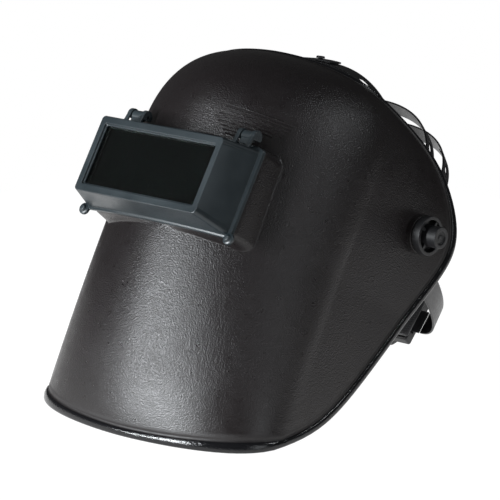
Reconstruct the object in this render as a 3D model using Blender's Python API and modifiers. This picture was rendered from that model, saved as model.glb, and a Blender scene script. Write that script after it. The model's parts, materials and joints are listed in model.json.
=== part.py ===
"""Welding helmet with a flip-front lens holder and a ratchet headgear.

Metres, +Z up, the face towards -Y, the wearer's left towards +X.  The helmet
stands on a table: on its chin rim in front and on the nape knob behind.
Three empties carry the pieces: the helmet, the lens plane and the head.
"""
import math

import bmesh
import bpy
import numpy as np
from mathutils import Matrix, Vector

# ---- standing pose -----------------------------------------------------------
CENTRE_Y = 0.1661            # middle of the whole object, measured back from the chin
LENS_Y, LENS_Z = 0.0380, 0.1917      # middle of the lens holder's front face
LENS_TILT = math.radians(33.07)      # the lens plane leans back by this much
PIVOT_Y, PIVOT_Z = 0.2055, 0.1275    # axis of the headgear pivots
HEAD_PITCH = math.radians(24.0)      # the head leans back by this much

# ---- shell, in the lens plane: x across, y back, z up the face ---------------
WALL = 0.0025
CENTRE_BACK = 0.1184         # centre line of the round sections, behind the lens
FRONT_REACH = 0.0934         # from that line forward to the face
REACH_Z = 0.0574             # height at which the face reaches furthest
CROWN_Z = 0.1310             # top of the dome
CHIN_Z = -0.2181             # where the lower curve would close
CHIN_POWER = 1.87
HALF_WIDTH = 0.1043
HALF_WIDTH_CHIN = 0.1122
WIDEST_Z = -0.0240
WIDTH_POWER = 4.10
SECTION_POWER = 1.79
FLARE = 1.57                 # the sides widen towards the back, per metre
CHIN_LEVEL = 0.1810          # from the lens centre down to the chin
CORE = Vector((0.0, 0.1250, -0.0100))   # inner point that the surface is seen from

# the rim in side view: point (y, z) and direction of each straight stretch
RIM_LINES = ((0.1000, 0.0040, 35.2), (0.2480, 0.1200, 93.0), (0.2705, 0.1450, 131.3))
RIM_ROUND = 0.0103
RIM_ROLL_FLOOR = -0.0002     # the rolled edge reaches the table from this height
# rolled rim: distance from the edge, and how far it stands out
RIM_ROLL = ((0.0085, 0.0), (0.0068, 0.0012), (0.0035, 0.0018), (0.0, 0.0009))
RIM_STEPS = 10               # rows of facets from the lens flange to the rim

# ---- lens holder --------------------------------------------------------------
GAP = 0.0003
PLATE_X, PLATE_Z = 0.0540, 0.0255        # half size of a 108 x 51 mm filter plate
BOX_X, BOX_Z = 0.0580, 0.0291            # half size of the flip front's face
BOX_FLARE = (0.3340, 0.0940, 0.1450)     # growth per metre: side, bottom, top
BOX_WALL = 0.0025
LIP = 0.0016
SEAT_X, SEAT_SIDE = 0.0687, 0.0361       # the raised seat's depth at its side edges
FLANGE = (0.0672, -0.0318, 0.0366, 0.0050)    # half width, bottom, top, corner radius
SEAT_FOOT = (0.0705, -0.0348, 0.0384, 0.0080)  # where the seat's walls meet the shell
CLAMP = (0.0632, -0.0296, 0.0345, 0.0040)      # outline of the clamp ring behind the shell
COLLAR = (0.0566, -0.0270, 0.0280, 0.0030)
TONGUE = (0.0560, -0.0268, 0.0274, 0.0025)
APERTURE = (0.0588, -0.0286, 0.0300, 0.0030)
POCKET = (0.0543, -0.0258, 0.0258, 0.0010)
LIP_HOLE = (0.0515, -0.0225, 0.0225, 0.0020)
FLANGE_OUT, FLANGE_IN = 0.0029, 0.0004   # flange faces, outside the seat
COLLAR_Y = 0.0130
LONG_SEGS, SHORT_SEGS, CORNER_SEGS = 8, 6, 2
HINGE_X, HINGE_Y, HINGE_Z = 0.0527, 0.0300, 0.0424
EAR_R, EAR_T, KNUCKLE_R, KNUCKLE_W = 0.0050, 0.0034, 0.0040, 0.0088
PIN_R = 0.0014
FRAME_SCREWS = ((0.0604, -0.0180), (0.0604, 0.0240))
# round bumps at the flip front's lower corners
BUMP_X, BUMP_Y, BUMP_Z = 0.0695, 0.0316, -0.0338
SCREW_R, SCREW_HEAD_R = 0.0013, 0.0028

# ---- pivots, distances from the middle plane --------------------------------------
BOSS_R, BOSS_IN, BOSS_OUT = 0.0140, 0.1058, 0.1156
STUD_R = 0.0030
KNOB_R, KNOB_X0, KNOB_X1, KNOB_HUB_R, KNOB_HUB_X = 0.0145, 0.1171, 0.1236, 0.0080, 0.1330

# ---- headgear, in the head's frame: x across, y back, z up from the pivots ------
HEAD_X, HEAD_FRONT, HEAD_POWER = 0.0780, 0.0980, 2.2
BAND_T = 0.0016
FRONT_BAND_H, FRONT_BAND_Z, FRONT_BAND_RISE = 0.0280, 0.0060, 0.0220
ARM_PATH = ((0.1016, 0.0), (0.1016, -0.0120), (0.0975, -0.0225), (0.0850, -0.0330),
            (0.0737, -0.0450), (0.0689, -0.0560))
STRAP_T, STRAP_W = 0.0014, 0.0140
STRAP_BASE_Z = 0.0230        # where the straps start to arch over the head
# each strap: half width, height, lean backwards, shift across itself
CROWN_STRAP = (0.0820, 0.1119, math.radians(-13.7), 0.0020)
MID_STRAP = (0.0840, 0.1140, math.radians(27.0), 0.0074)
REAR_STRAP = (0.0865, 0.1233, math.radians(37.2), 0.0177)
CROWN_TAIL, LONG_TAIL = -12.0, -16.0     # degrees of the straps' straight ends
STRAP_POWER = 0.87
CROWN_RIVET, MID_RIVET, SIDE_RIVET = (-0.0009, 0.0121), (0.0076, 0.0017), (0.0179, -0.0029)
LAP_RISE = 0.0018            # the right half of the crown strap lies on the left half
RIVET_R = 0.0016

# ---- ratchet, in the nape's frame: x across, y out of the head, z up ---------------
NAPE_Y, NAPE_Z, NAPE_TILT = 0.1360, -0.0533, math.radians(20.0)
CASE_X, CASE_Z, CASE_BACK = 0.0340, 0.0180, 0.0036
CAVITY_X, CAVITY_Z, CAVITY_BACK = 0.0315, 0.0108, 0.0016
COVER_Y = -0.0056            # joint between the case and its cover
RACK_Z = 0.0094
RACK_LAYERS = {"left": (-0.0048, -0.0034), "right": (-0.0030, -0.0016)}
RACK_END, RACK_OUT = 0.0140, 0.0415
PINION_TEETH, PINION_R = 12, 0.0060
PITCH = 2.0 * math.pi * PINION_R / PINION_TEETH
RATCHET_R, RATCHET_Y0, RATCHET_Y1 = 0.0190, 0.0042, 0.0140
CASE_SCREWS = {"upper": (0.0260, 0.0143), "lower": (-0.0260, -0.0143)}
NAPE_BAND_Y = NAPE_Y - 0.0032 * math.cos(NAPE_TILT)
NAPE_BAND_Z = NAPE_Z + 0.0032 * math.sin(NAPE_TILT)
HALF_RING = LONG_SEGS + SHORT_SEGS + 2 * CORNER_SEGS + 1

# ---- colours and finishes: name -> (red, green, blue, roughness, metallic) -------
FINISH = {
    "shell_plastic": (0.022, 0.019, 0.020, 0.45, 0.0),
    "holder_plastic": (0.045, 0.058, 0.062, 0.38, 0.0),
    "clear_plate": (0.75, 0.80, 0.80, 0.05, 0.0),
    "dark_filter": (0.006, 0.010, 0.009, 0.04, 0.0),
    "gasket_rubber": (0.012, 0.012, 0.012, 0.70, 0.0),
    "zinc_steel": (0.55, 0.55, 0.53, 0.30, 1.0),
    "band_plastic": (0.020, 0.021, 0.023, 0.30, 0.0),
    "ratchet_plastic": (0.014, 0.014, 0.015, 0.35, 0.0),
    "washer_fibre": (0.010, 0.010, 0.010, 0.80, 0.0),
    "foam_pad": (0.030, 0.030, 0.032, 0.90, 0.0),
}


# ---- scene and object helpers ------------------------------------------------------
def clear_scene():
    for item in list(bpy.data.objects):
        bpy.data.objects.remove(item, do_unlink=True)


def collection(name):
    group = bpy.data.collections.new(name)
    bpy.context.scene.collection.children.link(group)
    return group


def material(name):
    found = bpy.data.materials.get(name)
    if found:
        return found
    red, green, blue, roughness, metallic = FINISH[name]
    made = bpy.data.materials.new(name)
    made.use_nodes = True
    shader = made.node_tree.nodes["Principled BSDF"]
    shader.inputs["Base Color"].default_value = (red, green, blue, 1.0)
    shader.inputs["Roughness"].default_value = roughness
    shader.inputs["Metallic"].default_value = metallic
    return made


def empty(name, parent, location, turn_x=0.0):
    made = bpy.data.objects.new(name, None)
    made.empty_display_size = 0.02
    made.parent = parent
    made.location = location
    made.rotation_euler.x = turn_x
    PARTS.objects.link(made)
    return made


def part(name, mesh, finish, parent, location=(0.0, 0.0, 0.0), turn=(0.0, 0.0, 0.0)):
    """One named piece, smooth except at its sharp edges."""
    made = bpy.data.objects.new(name, mesh)
    mesh.name = name
    mesh.materials.append(material(finish))
    mesh.shade_smooth()
    mesh.set_sharp_from_angle(angle=math.radians(35.0))
    made.parent = parent
    made.location = location
    made.rotation_euler = turn
    PARTS.objects.link(made)
    return made


def cutter(mesh, parent, location=(0.0, 0.0, 0.0), turn=(0.0, 0.0, 0.0)):
    made = bpy.data.objects.new("tool", mesh)
    made.parent = parent
    made.location = location
    made.rotation_euler = turn
    made.hide_render = True
    made.display_type = "WIRE"
    CUTTERS.objects.link(made)
    return made


def boolean(target, operation, tools):
    for tool in tools:
        step = target.modifiers.new(operation.lower(), "BOOLEAN")
        step.operation = operation
        step.object = tool
        step.solver = "EXACT"


# ---- mesh builders ---------------------------------------------------------------
def finish_mesh(work, name):
    bmesh.ops.recalc_face_normals(work, faces=work.faces)
    mesh = bpy.data.meshes.new(name)
    work.to_mesh(mesh)
    work.free()
    return mesh


def box_mesh(low, high, bevel=0.0):
    """A box between two corners, its edges optionally rounded off by one facet."""
    work = bmesh.new()
    bmesh.ops.create_cube(work, size=1.0)
    low, high = Vector(low), Vector(high)
    size = high - low
    bmesh.ops.transform(work, matrix=Matrix.Diagonal((*size, 1.0)), verts=work.verts)
    bmesh.ops.translate(work, vec=(low + high) / 2.0, verts=work.verts)
    if bevel:
        bmesh.ops.bevel(work, geom=list(work.edges), offset=bevel, segments=1, affect="EDGES")
    return finish_mesh(work, "box")


def rod_mesh(radius, start, end, axis, sides=16, centre=(0.0, 0.0)):
    """A cylinder along x, y or z; centre gives its place on the other two axes."""
    work = bmesh.new()
    bmesh.ops.create_cone(work, cap_ends=True, segments=sides, radius1=radius,
                          radius2=radius, depth=end - start)
    middle = (start + end) / 2.0
    if axis == "x":
        turn, place = Matrix.Rotation(math.pi / 2.0, 4, "Y"), (middle, centre[0], centre[1])
    elif axis == "y":
        turn, place = Matrix.Rotation(-math.pi / 2.0, 4, "X"), (centre[0], middle, centre[1])
    else:
        turn, place = Matrix.Identity(4), (centre[0], centre[1], middle)
    bmesh.ops.transform(work, matrix=Matrix.Translation(place) @ turn, verts=work.verts)
    return finish_mesh(work, "rod")


def turned_mesh(profile, sides, axis="z"):
    """A closed profile of (radius, height) points turned about an axis.

    Points on the axis are shared by all the sides.
    """
    work = bmesh.new()
    rings = []
    for radius, height in profile:
        if radius == 0.0:
            rings.append([work.verts.new((0.0, 0.0, height))] * sides)
            continue
        ring = [2.0 * math.pi * k / sides for k in range(sides)]
        rings.append([work.verts.new((radius * math.cos(a), radius * math.sin(a), height))
                      for a in ring])
    pairs = list(zip(rings, rings[1:]))
    if profile[0][0] and profile[-1][0]:
        pairs.append((rings[-1], rings[0]))
    for lower, upper in pairs:
        if lower[0] is lower[1] and upper[0] is upper[1]:
            continue
        for k in range(sides):
            corners = [lower[k], lower[(k + 1) % sides], upper[(k + 1) % sides], upper[k]]
            corners = [c for i, c in enumerate(corners) if c not in corners[:i]]
            work.faces.new(corners)
    turns = {"x": Matrix.Rotation(math.pi / 2.0, 4, "Y"),
             "-x": Matrix.Rotation(-math.pi / 2.0, 4, "Y"),
             "y": Matrix.Rotation(-math.pi / 2.0, 4, "X"), "z": Matrix.Identity(4)}
    bmesh.ops.transform(work, matrix=turns[axis], verts=work.verts)
    return finish_mesh(work, "turned")


def outline_mesh(points, low, high, axis):
    """A flat outline of (a, b) points made into a plate between two levels of an axis."""
    order = {"x": lambda a, b, c: (c, a, b), "y": lambda a, b, c: (a, c, b),
             "z": lambda a, b, c: (a, b, c)}[axis]
    work = bmesh.new()
    face = work.faces.new([work.verts.new(order(a, b, low)) for a, b in points])
    moved = bmesh.ops.extrude_face_region(work, geom=[face])["geom"]
    rise = Vector(order(0.0, 0.0, high - low))
    bmesh.ops.translate(work, vec=rise, verts=[v for v in moved if isinstance(v, bmesh.types.BMVert)])
    return finish_mesh(work, "plate")


def ring_mesh(loops):
    """A closed tube of material: each loop of points is joined to the next, the last
    to the first."""
    work = bmesh.new()
    rings = [[work.verts.new(point) for point in loop] for loop in loops]
    count = len(rings[0])
    for first, second in zip(rings, rings[1:] + rings[:1]):
        for k in range(count):
            after = (k + 1) % count
            work.faces.new((first[k], first[after], second[after], second[k]))
    return finish_mesh(work, "ring")


def grid_mesh(rows):
    """An open sheet through rows of points."""
    work = bmesh.new()
    verts = [[work.verts.new(point) for point in row] for row in rows]
    for upper, lower in zip(verts, verts[1:]):
        for k in range(len(upper) - 1):
            work.faces.new((upper[k], upper[k + 1], lower[k + 1], lower[k]))
    mesh = bpy.data.meshes.new("grid")
    work.to_mesh(mesh)
    work.free()
    return mesh


def thicken(target, thickness, offset):
    step = target.modifiers.new("wall", "SOLIDIFY")
    step.thickness = thickness
    step.offset = offset
    step.use_even_offset = False


def mirrored(target):
    step = target.modifiers.new("other_side", "MIRROR")
    step.merge_threshold = 0.0001


def arc(centre, radius, first, last, count):
    """Points on an arc in the plane, from one angle in degrees to another."""
    turns = [math.radians(first + (last - first) * k / count) for k in range(count + 1)]
    return [(centre[0] + radius * math.cos(a), centre[1] + radius * math.sin(a)) for a in turns]


# ---- the shell's surface, in the lens plane's frame --------------------------------
def round_off(part_way, power):
    return np.power(np.clip(1.0 - np.power(np.clip(part_way, 0.0, 1.0), power), 0.0, 1.0),
                    1.0 / power)


def reach(z):
    """How far the face stands in front of the sections' centre line at height z."""
    upper = round_off((z - REACH_Z) / (CROWN_Z - REACH_Z), 2.0)
    lower = round_off((REACH_Z - z) / (REACH_Z - CHIN_Z), CHIN_POWER)
    return np.maximum(FRONT_REACH * np.where(z > REACH_Z, upper, lower), 1e-6)


def half_width(z):
    upper = HALF_WIDTH * round_off((z - WIDEST_Z) / (CROWN_Z - WIDEST_Z), WIDTH_POWER)
    down = np.clip((WIDEST_Z - z) / (WIDEST_Z + CHIN_LEVEL), 0.0, 2.0)
    lower = HALF_WIDTH + (HALF_WIDTH_CHIN - HALF_WIDTH) * down
    return np.maximum(np.where(z > WIDEST_Z, upper, lower), 1e-6)


def outside_shell(points):
    """Above zero outside the surface, below zero inside it."""
    x, y, z = points[..., 0], points[..., 1], points[..., 2]
    width = half_width(z) * (1.0 + FLARE * np.maximum(y - CENTRE_BACK, 0.0))
    forward = np.maximum(CENTRE_BACK - y, 0.0) / reach(z)
    level = np.power(np.abs(x) / width, SECTION_POWER) + np.power(forward, SECTION_POWER) - 1.0
    return np.where(z > CROWN_Z, 1.0, level)


def shell_y(x, z):
    """Depth of the face's surface behind the lens plane."""
    across = round_off(np.abs(x) / half_width(z), SECTION_POWER)
    return CENTRE_BACK - reach(z) * across


def seat_y(x, z):
    """Depth of the raised seat under the lens holder, flatter than the shell."""
    middle = shell_y(np.zeros_like(x), z)
    return middle + (SEAT_SIDE - middle) * (x / SEAT_X) ** 2


def seat_slopes(x, z):
    step = 0.0005
    return ((seat_y(x + step, z) - seat_y(x - step, z)) / (2.0 * step),
            (seat_y(x, z + step) - seat_y(x, z - step)) / (2.0 * step))


def off_seat(x, z, distance):
    """Depth of a point that stands a distance outside the seat (inside if negative)."""
    slope_x, slope_z = seat_slopes(x, z)
    return seat_y(x, z) - distance * np.sqrt(1.0 + slope_x ** 2 + slope_z ** 2)


def to_helmet(points):
    """From the lens plane's frame to the helmet's."""
    x, y, z = points[..., 0], points[..., 1], points[..., 2]
    back_y, back_z = math.cos(LENS_TILT), -math.sin(LENS_TILT)
    return np.stack((x, LENS_Y + y * back_y - z * back_z, LENS_Z + y * back_z + z * back_y), -1)


def past_rim(points):
    """Above zero beyond the rim, whose straight stretches blend with rounded corners."""
    y, z = points[..., 1], points[..., 2]
    sides = [RIM_ROLL_FLOOR - z]
    for rim_y, rim_z, direction in RIM_LINES:
        turn = math.radians(direction)
        sides.append((y - rim_y) * math.sin(turn) - (z - rim_z) * math.cos(turn))
    sides = np.stack(sides)
    most = sides.max(0)
    return most + RIM_ROUND * np.log(np.exp((sides - most) / RIM_ROUND).sum(0))


def cast(directions):
    """Where rays from the core meet the surface."""
    core = np.array(CORE)
    near = np.zeros(directions.shape[:-1])
    far = np.full(directions.shape[:-1], 0.4)
    for _ in range(36):
        middle = (near + far) / 2.0
        inside = outside_shell(core + directions * middle[..., None]) < 0.0
        near = np.where(inside, middle, near)
        far = np.where(inside, far, middle)
    return core + directions * near[..., None]


def unit(vectors):
    return vectors / np.linalg.norm(vectors, axis=-1, keepdims=True)


def rim_directions(columns):
    """Directions from the core to the rim, from the chin round one side to the top."""
    ahead = unit(np.array((0.0, shell_y(0.0, 0.0), 0.0)) - np.array(CORE))
    down = np.array((0.0, ahead[2], -ahead[1]))
    down = -down if down[2] > 0.0 else down
    turn = np.linspace(0.0, math.pi, columns)
    aside = np.cos(turn)[:, None] * down + np.sin(turn)[:, None] * np.array((1.0, 0.0, 0.0))
    near, far = np.full(columns, 0.2), np.full(columns, 2.9)
    for _ in range(36):
        middle = (near + far) / 2.0
        rays = np.cos(middle)[:, None] * ahead + np.sin(middle)[:, None] * aside
        inside = past_rim(to_helmet(cast(rays))) < 0.0
        near = np.where(inside, middle, near)
        far = np.where(inside, far, middle)
    return unit(np.cos(near)[:, None] * ahead + np.sin(near)[:, None] * aside)


def between(first, last, share):
    """Directions part of the way round from one set to another."""
    angle = np.arccos(np.clip((first * last).sum(-1), -1.0, 1.0))[:, None]
    return (np.sin((1.0 - share) * angle) * first + np.sin(share * angle) * last) / np.sin(angle)


# ---- outlines of the lens holder ---------------------------------------------------
def frame_outline(half_x, bottom, top, radius):
    """Points round a rectangle with rounded corners, from the bottom's middle towards +X."""
    def line(start, end, count):
        return [(start[0] + (end[0] - start[0]) * k / count,
                 start[1] + (end[1] - start[1]) * k / count) for k in range(count)]

    def corner(x, z, first):
        return arc((x, z), radius, first, first + 90.0, CORNER_SEGS)[:-1]
    in_x, low, high, half = half_x - radius, bottom + radius, top - radius, LONG_SEGS // 2
    points = line((0.0, bottom), (in_x, bottom), half) + corner(in_x, low, -90.0)
    points += line((half_x, low), (half_x, high), SHORT_SEGS) + corner(in_x, high, 0.0)
    points += line((in_x, top), (-in_x, top), LONG_SEGS) + corner(-in_x, high, 90.0)
    points += line((-half_x, high), (-half_x, low), SHORT_SEGS) + corner(-in_x, low, 180.0)
    points += line((-in_x, bottom), (0.0, bottom), half)
    return np.array(points)


def loop_at(outline, depth):
    """A loop of points round an outline, at one depth or at a depth for each point."""
    points = frame_outline(*outline)
    depths = np.broadcast_to(depth, len(points))
    return np.stack((points[:, 0], depths, points[:, 1]), -1)


def loop_off_seat(outline, distance):
    points = frame_outline(*outline)
    return loop_at(outline, off_seat(points[:, 0], points[:, 1], distance))


def box_loop(depth, inset=0.0, lip=0.0):
    """A loop round the flip front's flaring walls at a depth for each point."""
    count = len(frame_outline(*APERTURE))
    depths = np.broadcast_to(depth, count)
    side, bottom, top = BOX_FLARE
    points = []
    for k, at in enumerate(depths):
        outline = (BOX_X + side * at - inset + lip, -BOX_Z - bottom * at + inset - lip,
                   BOX_Z + top * at - inset + lip, 0.0030)
        points.append(frame_outline(*outline)[k])
    points = np.array(points)
    return np.stack((points[:, 0], depths, points[:, 1]), -1)


def box_rear_depth(inset=0.0, lip=0.0):
    """Depth at which each point of the flip front's rear edge meets the fixed frame."""
    depths = np.full(len(frame_outline(*APERTURE)), 0.030)
    for _ in range(8):
        loop = box_loop(depths, inset, lip)
        depths = off_seat(loop[:, 0], loop[:, 2], FLANGE_OUT + 0.0007)
    return depths


# ---- shell and fixed lens frame -----------------------------------------------------
def facing(points):
    """Unit normals of the surface, pointing out."""
    step = 0.0002
    slopes = []
    for axis in np.eye(3):
        slopes.append(outside_shell(points + step * axis) - outside_shell(points - step * axis))
    return unit(np.stack(slopes, -1))


def shell_rows():
    """Rows of points from the viewing opening out to the rolled rim, on the +X half."""
    rows = []
    for outline in (APERTURE, FLANGE):
        rows.append(loop_off_seat(outline, 0.0)[:HALF_RING])
    foot = frame_outline(*SEAT_FOOT)
    rows.append(loop_at(SEAT_FOOT, shell_y(foot[:, 0], foot[:, 1]))[:HALF_RING])
    start = unit(rows[-1] - np.array(CORE))
    end = rim_directions(HALF_RING)
    for k in range(1, RIM_STEPS):
        rows.append(cast(between(start, end, k / RIM_STEPS)))
    sweep = np.arccos((start * end).sum(-1)) * np.linalg.norm(cast(end) - np.array(CORE), axis=-1)
    for distance, lift in RIM_ROLL:
        share = (1.0 - distance / sweep)[:, None]
        points = cast(between(start, end, share))
        rows.append(points + lift * facing(points))
    rows = to_helmet(np.array(rows))
    rows[..., 2] = np.maximum(rows[..., 2], 0.0)
    rows[:, 0, 0] = rows[:, -1, 0] = 0.0
    return rows


def make_shell():
    shell = part("shell", grid_mesh(shell_rows()), "shell_plastic", HELMET)
    mirrored(shell)
    thicken(shell, WALL, 1.0)
    bosses = [cutter(rod_mesh(BOSS_R, side_in, side_out, "x", 24, (PIVOT_Y, PIVOT_Z)), HELMET)
              for side_in, side_out in ((BOSS_IN, BOSS_OUT), (-BOSS_OUT, -BOSS_IN))]
    boolean(shell, "UNION", bosses)
    bores = [cutter(rod_mesh(STUD_R + 0.0005, low, low + 0.03, "x", 16, (PIVOT_Y, PIVOT_Z)), HELMET)
             for low in (0.098, -0.128)]
    boolean(shell, "DIFFERENCE", bores + SCREW_HOLES)


def screw_places():
    """Where the four frame screws sit on the shell, and their outward directions."""
    places = []
    for name, (x, z) in zip(("lower", "upper"), FRAME_SCREWS):
        for side, sign in (("left", 1.0), ("right", -1.0)):
            at = np.float64(sign * x)
            slope_x, slope_z = seat_slopes(at, z)
            places.append((f"frame_screw_{name}_{side}", Vector((at, seat_y(at, z), z)),
                           Vector((slope_x, -1.0, slope_z)).normalized()))
    return places


def turn_to(direction):
    """Rotation that points an object's +Z along a direction."""
    return direction.to_track_quat("Z", "Y").to_euler()


def make_screw_holes():
    return [cutter(rod_mesh(SCREW_R + 0.0004, -0.012, 0.0022, "z", 10), LENS, place, turn_to(out))
            for _, place, out in screw_places()]


def make_frame_screws():
    for name, place, out in screw_places():
        head = -(WALL + 0.0034)
        profile = ((0.0, head - 0.0018), (SCREW_HEAD_R * 0.7, head - 0.0018),
                   (SCREW_HEAD_R, head - 0.0006), (SCREW_HEAD_R, head), (SCREW_R, head),
                   (SCREW_R, 0.0016), (0.0, 0.0016))
        part(name, turned_mesh(profile, 10), "zinc_steel", LENS, place, turn_to(out))


def make_base_frame():
    """Saddle flange on the shell, collar in front of it, tongue through the opening."""
    ledge_y = COLLAR_Y + 0.0020
    loops = [
        loop_off_seat(FLANGE, FLANGE_IN), loop_off_seat(FLANGE, FLANGE_OUT),
        loop_off_seat(COLLAR, FLANGE_OUT), loop_at(COLLAR, COLLAR_Y),
        loop_at(LIP_HOLE, COLLAR_Y), loop_at(LIP_HOLE, ledge_y),
        loop_at(POCKET, ledge_y), loop_off_seat(POCKET, -WALL - 0.0012),
        loop_off_seat(TONGUE, -WALL - 0.0012), loop_off_seat(TONGUE, FLANGE_IN),
    ]
    frame = part("base_frame", ring_mesh(loops), "holder_plastic", LENS)
    tools = []
    for sign in (1.0, -1.0):
        x = sign * HINGE_X
        tools.append(cutter(rod_mesh(KNUCKLE_R, x - KNUCKLE_W / 2, x + KNUCKLE_W / 2, "x", 16,
                                     (HINGE_Y, HINGE_Z)), LENS))
        slab = box_mesh((-KNUCKLE_W / 2 + 0.0001, -0.0032, -0.0068),
                        (KNUCKLE_W / 2 - 0.0001, 0.0001, 0.0))
        tools.append(cutter(slab, LENS, (x, HINGE_Y, HINGE_Z)))
    boolean(frame, "UNION", tools)
    pins = [cutter(rod_mesh(PIN_R + 0.0003, x - 0.012, x + 0.012, "x", 10, (HINGE_Y, HINGE_Z)), LENS)
            for x in (HINGE_X, -HINGE_X)]
    boolean(frame, "DIFFERENCE", pins + SCREW_HOLES)


def make_inner_frame():
    """Clamp ring behind the shell."""
    opening = (0.0572, -0.0280, 0.0286, 0.0025)
    near, far = -WALL - 0.0008, -WALL - 0.0028
    loops = [loop_off_seat(CLAMP, near), loop_off_seat(opening, near),
             loop_off_seat(opening, far), loop_off_seat(CLAMP, far)]
    frame = part("inner_frame", ring_mesh(loops), "holder_plastic", LENS)
    boolean(frame, "DIFFERENCE", SCREW_HOLES)


def lens_plate(name, finish, parent, y, thickness):
    mesh = box_mesh((-PLATE_X, y, -PLATE_Z), (PLATE_X, y + thickness, PLATE_Z))
    return part(name, mesh, finish, parent)


def flat_ring(name, finish, parent, outer, hole, y, thickness):
    loops = [loop_at(outer, y), loop_at(hole, y), loop_at(hole, y + thickness),
             loop_at(outer, y + thickness)]
    return part(name, ring_mesh(loops), finish, parent)


def make_safety_window():
    y = COLLAR_Y + 0.0023
    lens_plate("safety_lens", "clear_plate", LENS, y, 0.0020)
    flat_ring("safety_lens_retainer", "ratchet_plastic", LENS, (PLATE_X, -PLATE_Z, PLATE_Z, 0.001),
              (0.0500, -0.0215, 0.0215, 0.0020), y + 0.0020 + GAP, 0.0024)


# ---- flip front ----------------------------------------------------------------------
def make_flip_box():
    """Flaring box, a stepped bezel in front, its rear edge cut to the shell's curve."""
    rear_lip, rear, rear_in = box_rear_depth(0.0, LIP), box_rear_depth(), box_rear_depth(BOX_WALL)
    step_y, bezel_y, pocket_y = 0.0015, 0.0030, 0.0117
    window = (PLATE_X - 0.0020, -PLATE_Z + 0.0030, PLATE_Z - 0.0030, 0.0012)
    rim = (window[0] + 0.0012, window[1] - 0.0012, window[2] + 0.0012, 0.0015)
    loops = [
        loop_at(rim, 0.0), box_loop(0.0, 0.0006), box_loop(0.0007),
        box_loop(rear - 0.0030), box_loop(rear_lip - 0.0024, 0.0, LIP),
        box_loop(rear_lip, 0.0, LIP), box_loop(rear_in, BOX_WALL),
        box_loop(pocket_y, BOX_WALL), loop_at(POCKET, pocket_y), loop_at(POCKET, bezel_y),
        loop_at(window, bezel_y), loop_at(window, step_y), loop_at(rim, step_y),
    ]
    box = part("flip_box", ring_mesh(loops), "holder_plastic", FLIP, (0, -HINGE_Y, -HINGE_Z))
    ear = arc((HINGE_Y, HINGE_Z), EAR_R, -20.0, 190.0, 9)
    ear += [(HINGE_Y - 0.0062, HINGE_Z - 0.0070), (HINGE_Y - 0.0060, 0.0312),
            (HINGE_Y - 0.0038, 0.0312), (HINGE_Y - 0.0038, HINGE_Z - 0.0034)]
    ears = []
    for sign in (1.0, -1.0):
        for inner in (HINGE_X - KNUCKLE_W / 2 - 0.0004 - EAR_T, HINGE_X + KNUCKLE_W / 2 + 0.0004):
            low, high = sorted((sign * inner, sign * (inner + EAR_T)))
            ears.append(cutter(outline_mesh(ear, low, high, "x"), LENS))
        bump = turned_mesh(((0.0, 0.0), (0.0044, 0.0), (0.0044, 0.0022), (0.0026, 0.0030),
                            (0.0020, 0.0044), (0.0, 0.0048)), 14)
        ears.append(cutter(bump, LENS, (sign * BUMP_X, BUMP_Y, BUMP_Z), (math.pi / 2.0, 0, 0)))
    boolean(box, "UNION", ears)
    pins = [cutter(rod_mesh(PIN_R + 0.0003, x - 0.012, x + 0.012, "x", 10, (HINGE_Y, HINGE_Z)), LENS)
            for x in (HINGE_X, -HINGE_X)]
    boolean(box, "DIFFERENCE", pins)


def make_hinge_pins():
    reach_x = KNUCKLE_W / 2 + 0.0004 + EAR_T
    for side, sign in (("left", 1.0), ("right", -1.0)):
        x = sign * HINGE_X
        part(f"hinge_pin_{side}", rod_mesh(PIN_R, x - reach_x, x + reach_x, "x", 10,
                                           (HINGE_Y, HINGE_Z)), "zinc_steel", LENS)


def make_filter_stack():
    """Cover plate, gasket, dark filter and spring frame, front to back."""
    back = (0, -HINGE_Y, -HINGE_Z)
    plate = (PLATE_X, -PLATE_Z, PLATE_Z, 0.0010)
    opening = (PLATE_X - 0.0035, -PLATE_Z + 0.0035, PLATE_Z - 0.0035, 0.0015)
    y = 0.0030 + GAP
    lens_plate("cover_lens", "clear_plate", FLIP, y, 0.0010).location = back
    y += 0.0010 + GAP
    flat_ring("lens_gasket", "gasket_rubber", FLIP, plate, opening, y, 0.0008).location = back
    y += 0.0008 + GAP
    lens_plate("shade_lens", "dark_filter", FLIP, y, 0.0030).location = back
    y += 0.0030 + GAP
    flat_ring("lens_spring_frame", "zinc_steel", FLIP, plate, opening, y, 0.0012).location = back


# ---- pivots ----------------------------------------------------------------------------
def make_pivot(side, sign):
    """Stud, washers, stop plate and knob, from the inside of the helmet outwards."""
    outward = "x" if sign > 0 else "-x"

    def turned(name, profile, finish, parent, sides=20):
        part(name, turned_mesh(profile, sides, outward), finish, parent)

    def washer(name, low, high, outer, finish):
        inner = STUD_R + 0.0004
        turned(name, ((inner, low), (outer, low), (outer, high), (inner, high)), finish, HEAD)
    turned(f"pivot_stud_{side}",
           ((0.0, 0.0984), (0.0058, 0.0984), (0.0066, 0.0990), (0.0066, 0.1001), (STUD_R, 0.1001),
            (STUD_R, 0.1280), (0.0, 0.1280)), "zinc_steel", HEAD)
    washer(f"inner_washer_{side}", 0.1045, 0.1054, 0.0125, "washer_fibre")
    washer(f"outer_washer_{side}", 0.1159, 0.1168, 0.0135, "washer_fibre")
    stop = arc((0.0, 0.0), 0.0120, 60.0, 330.0, 18) + [(0.0200, -0.0060), (0.0200, 0.0060)]
    low, high = sorted((sign * 0.1029, sign * 0.1042))
    plate = part(f"tilt_stop_{side}", outline_mesh(stop, low, high, "x"), "zinc_steel", HEAD)
    low, high = sorted((sign * 0.10, sign * 0.13))
    boolean(plate, "DIFFERENCE", [cutter(rod_mesh(STUD_R + 0.0004, low, high, "x", 16), HEAD)])
    knob_parent = empty(f"knob_axis_{side}", HELMET, (0.0, PIVOT_Y, PIVOT_Z))
    make_tension_knob(side, outward, knob_parent)


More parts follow.
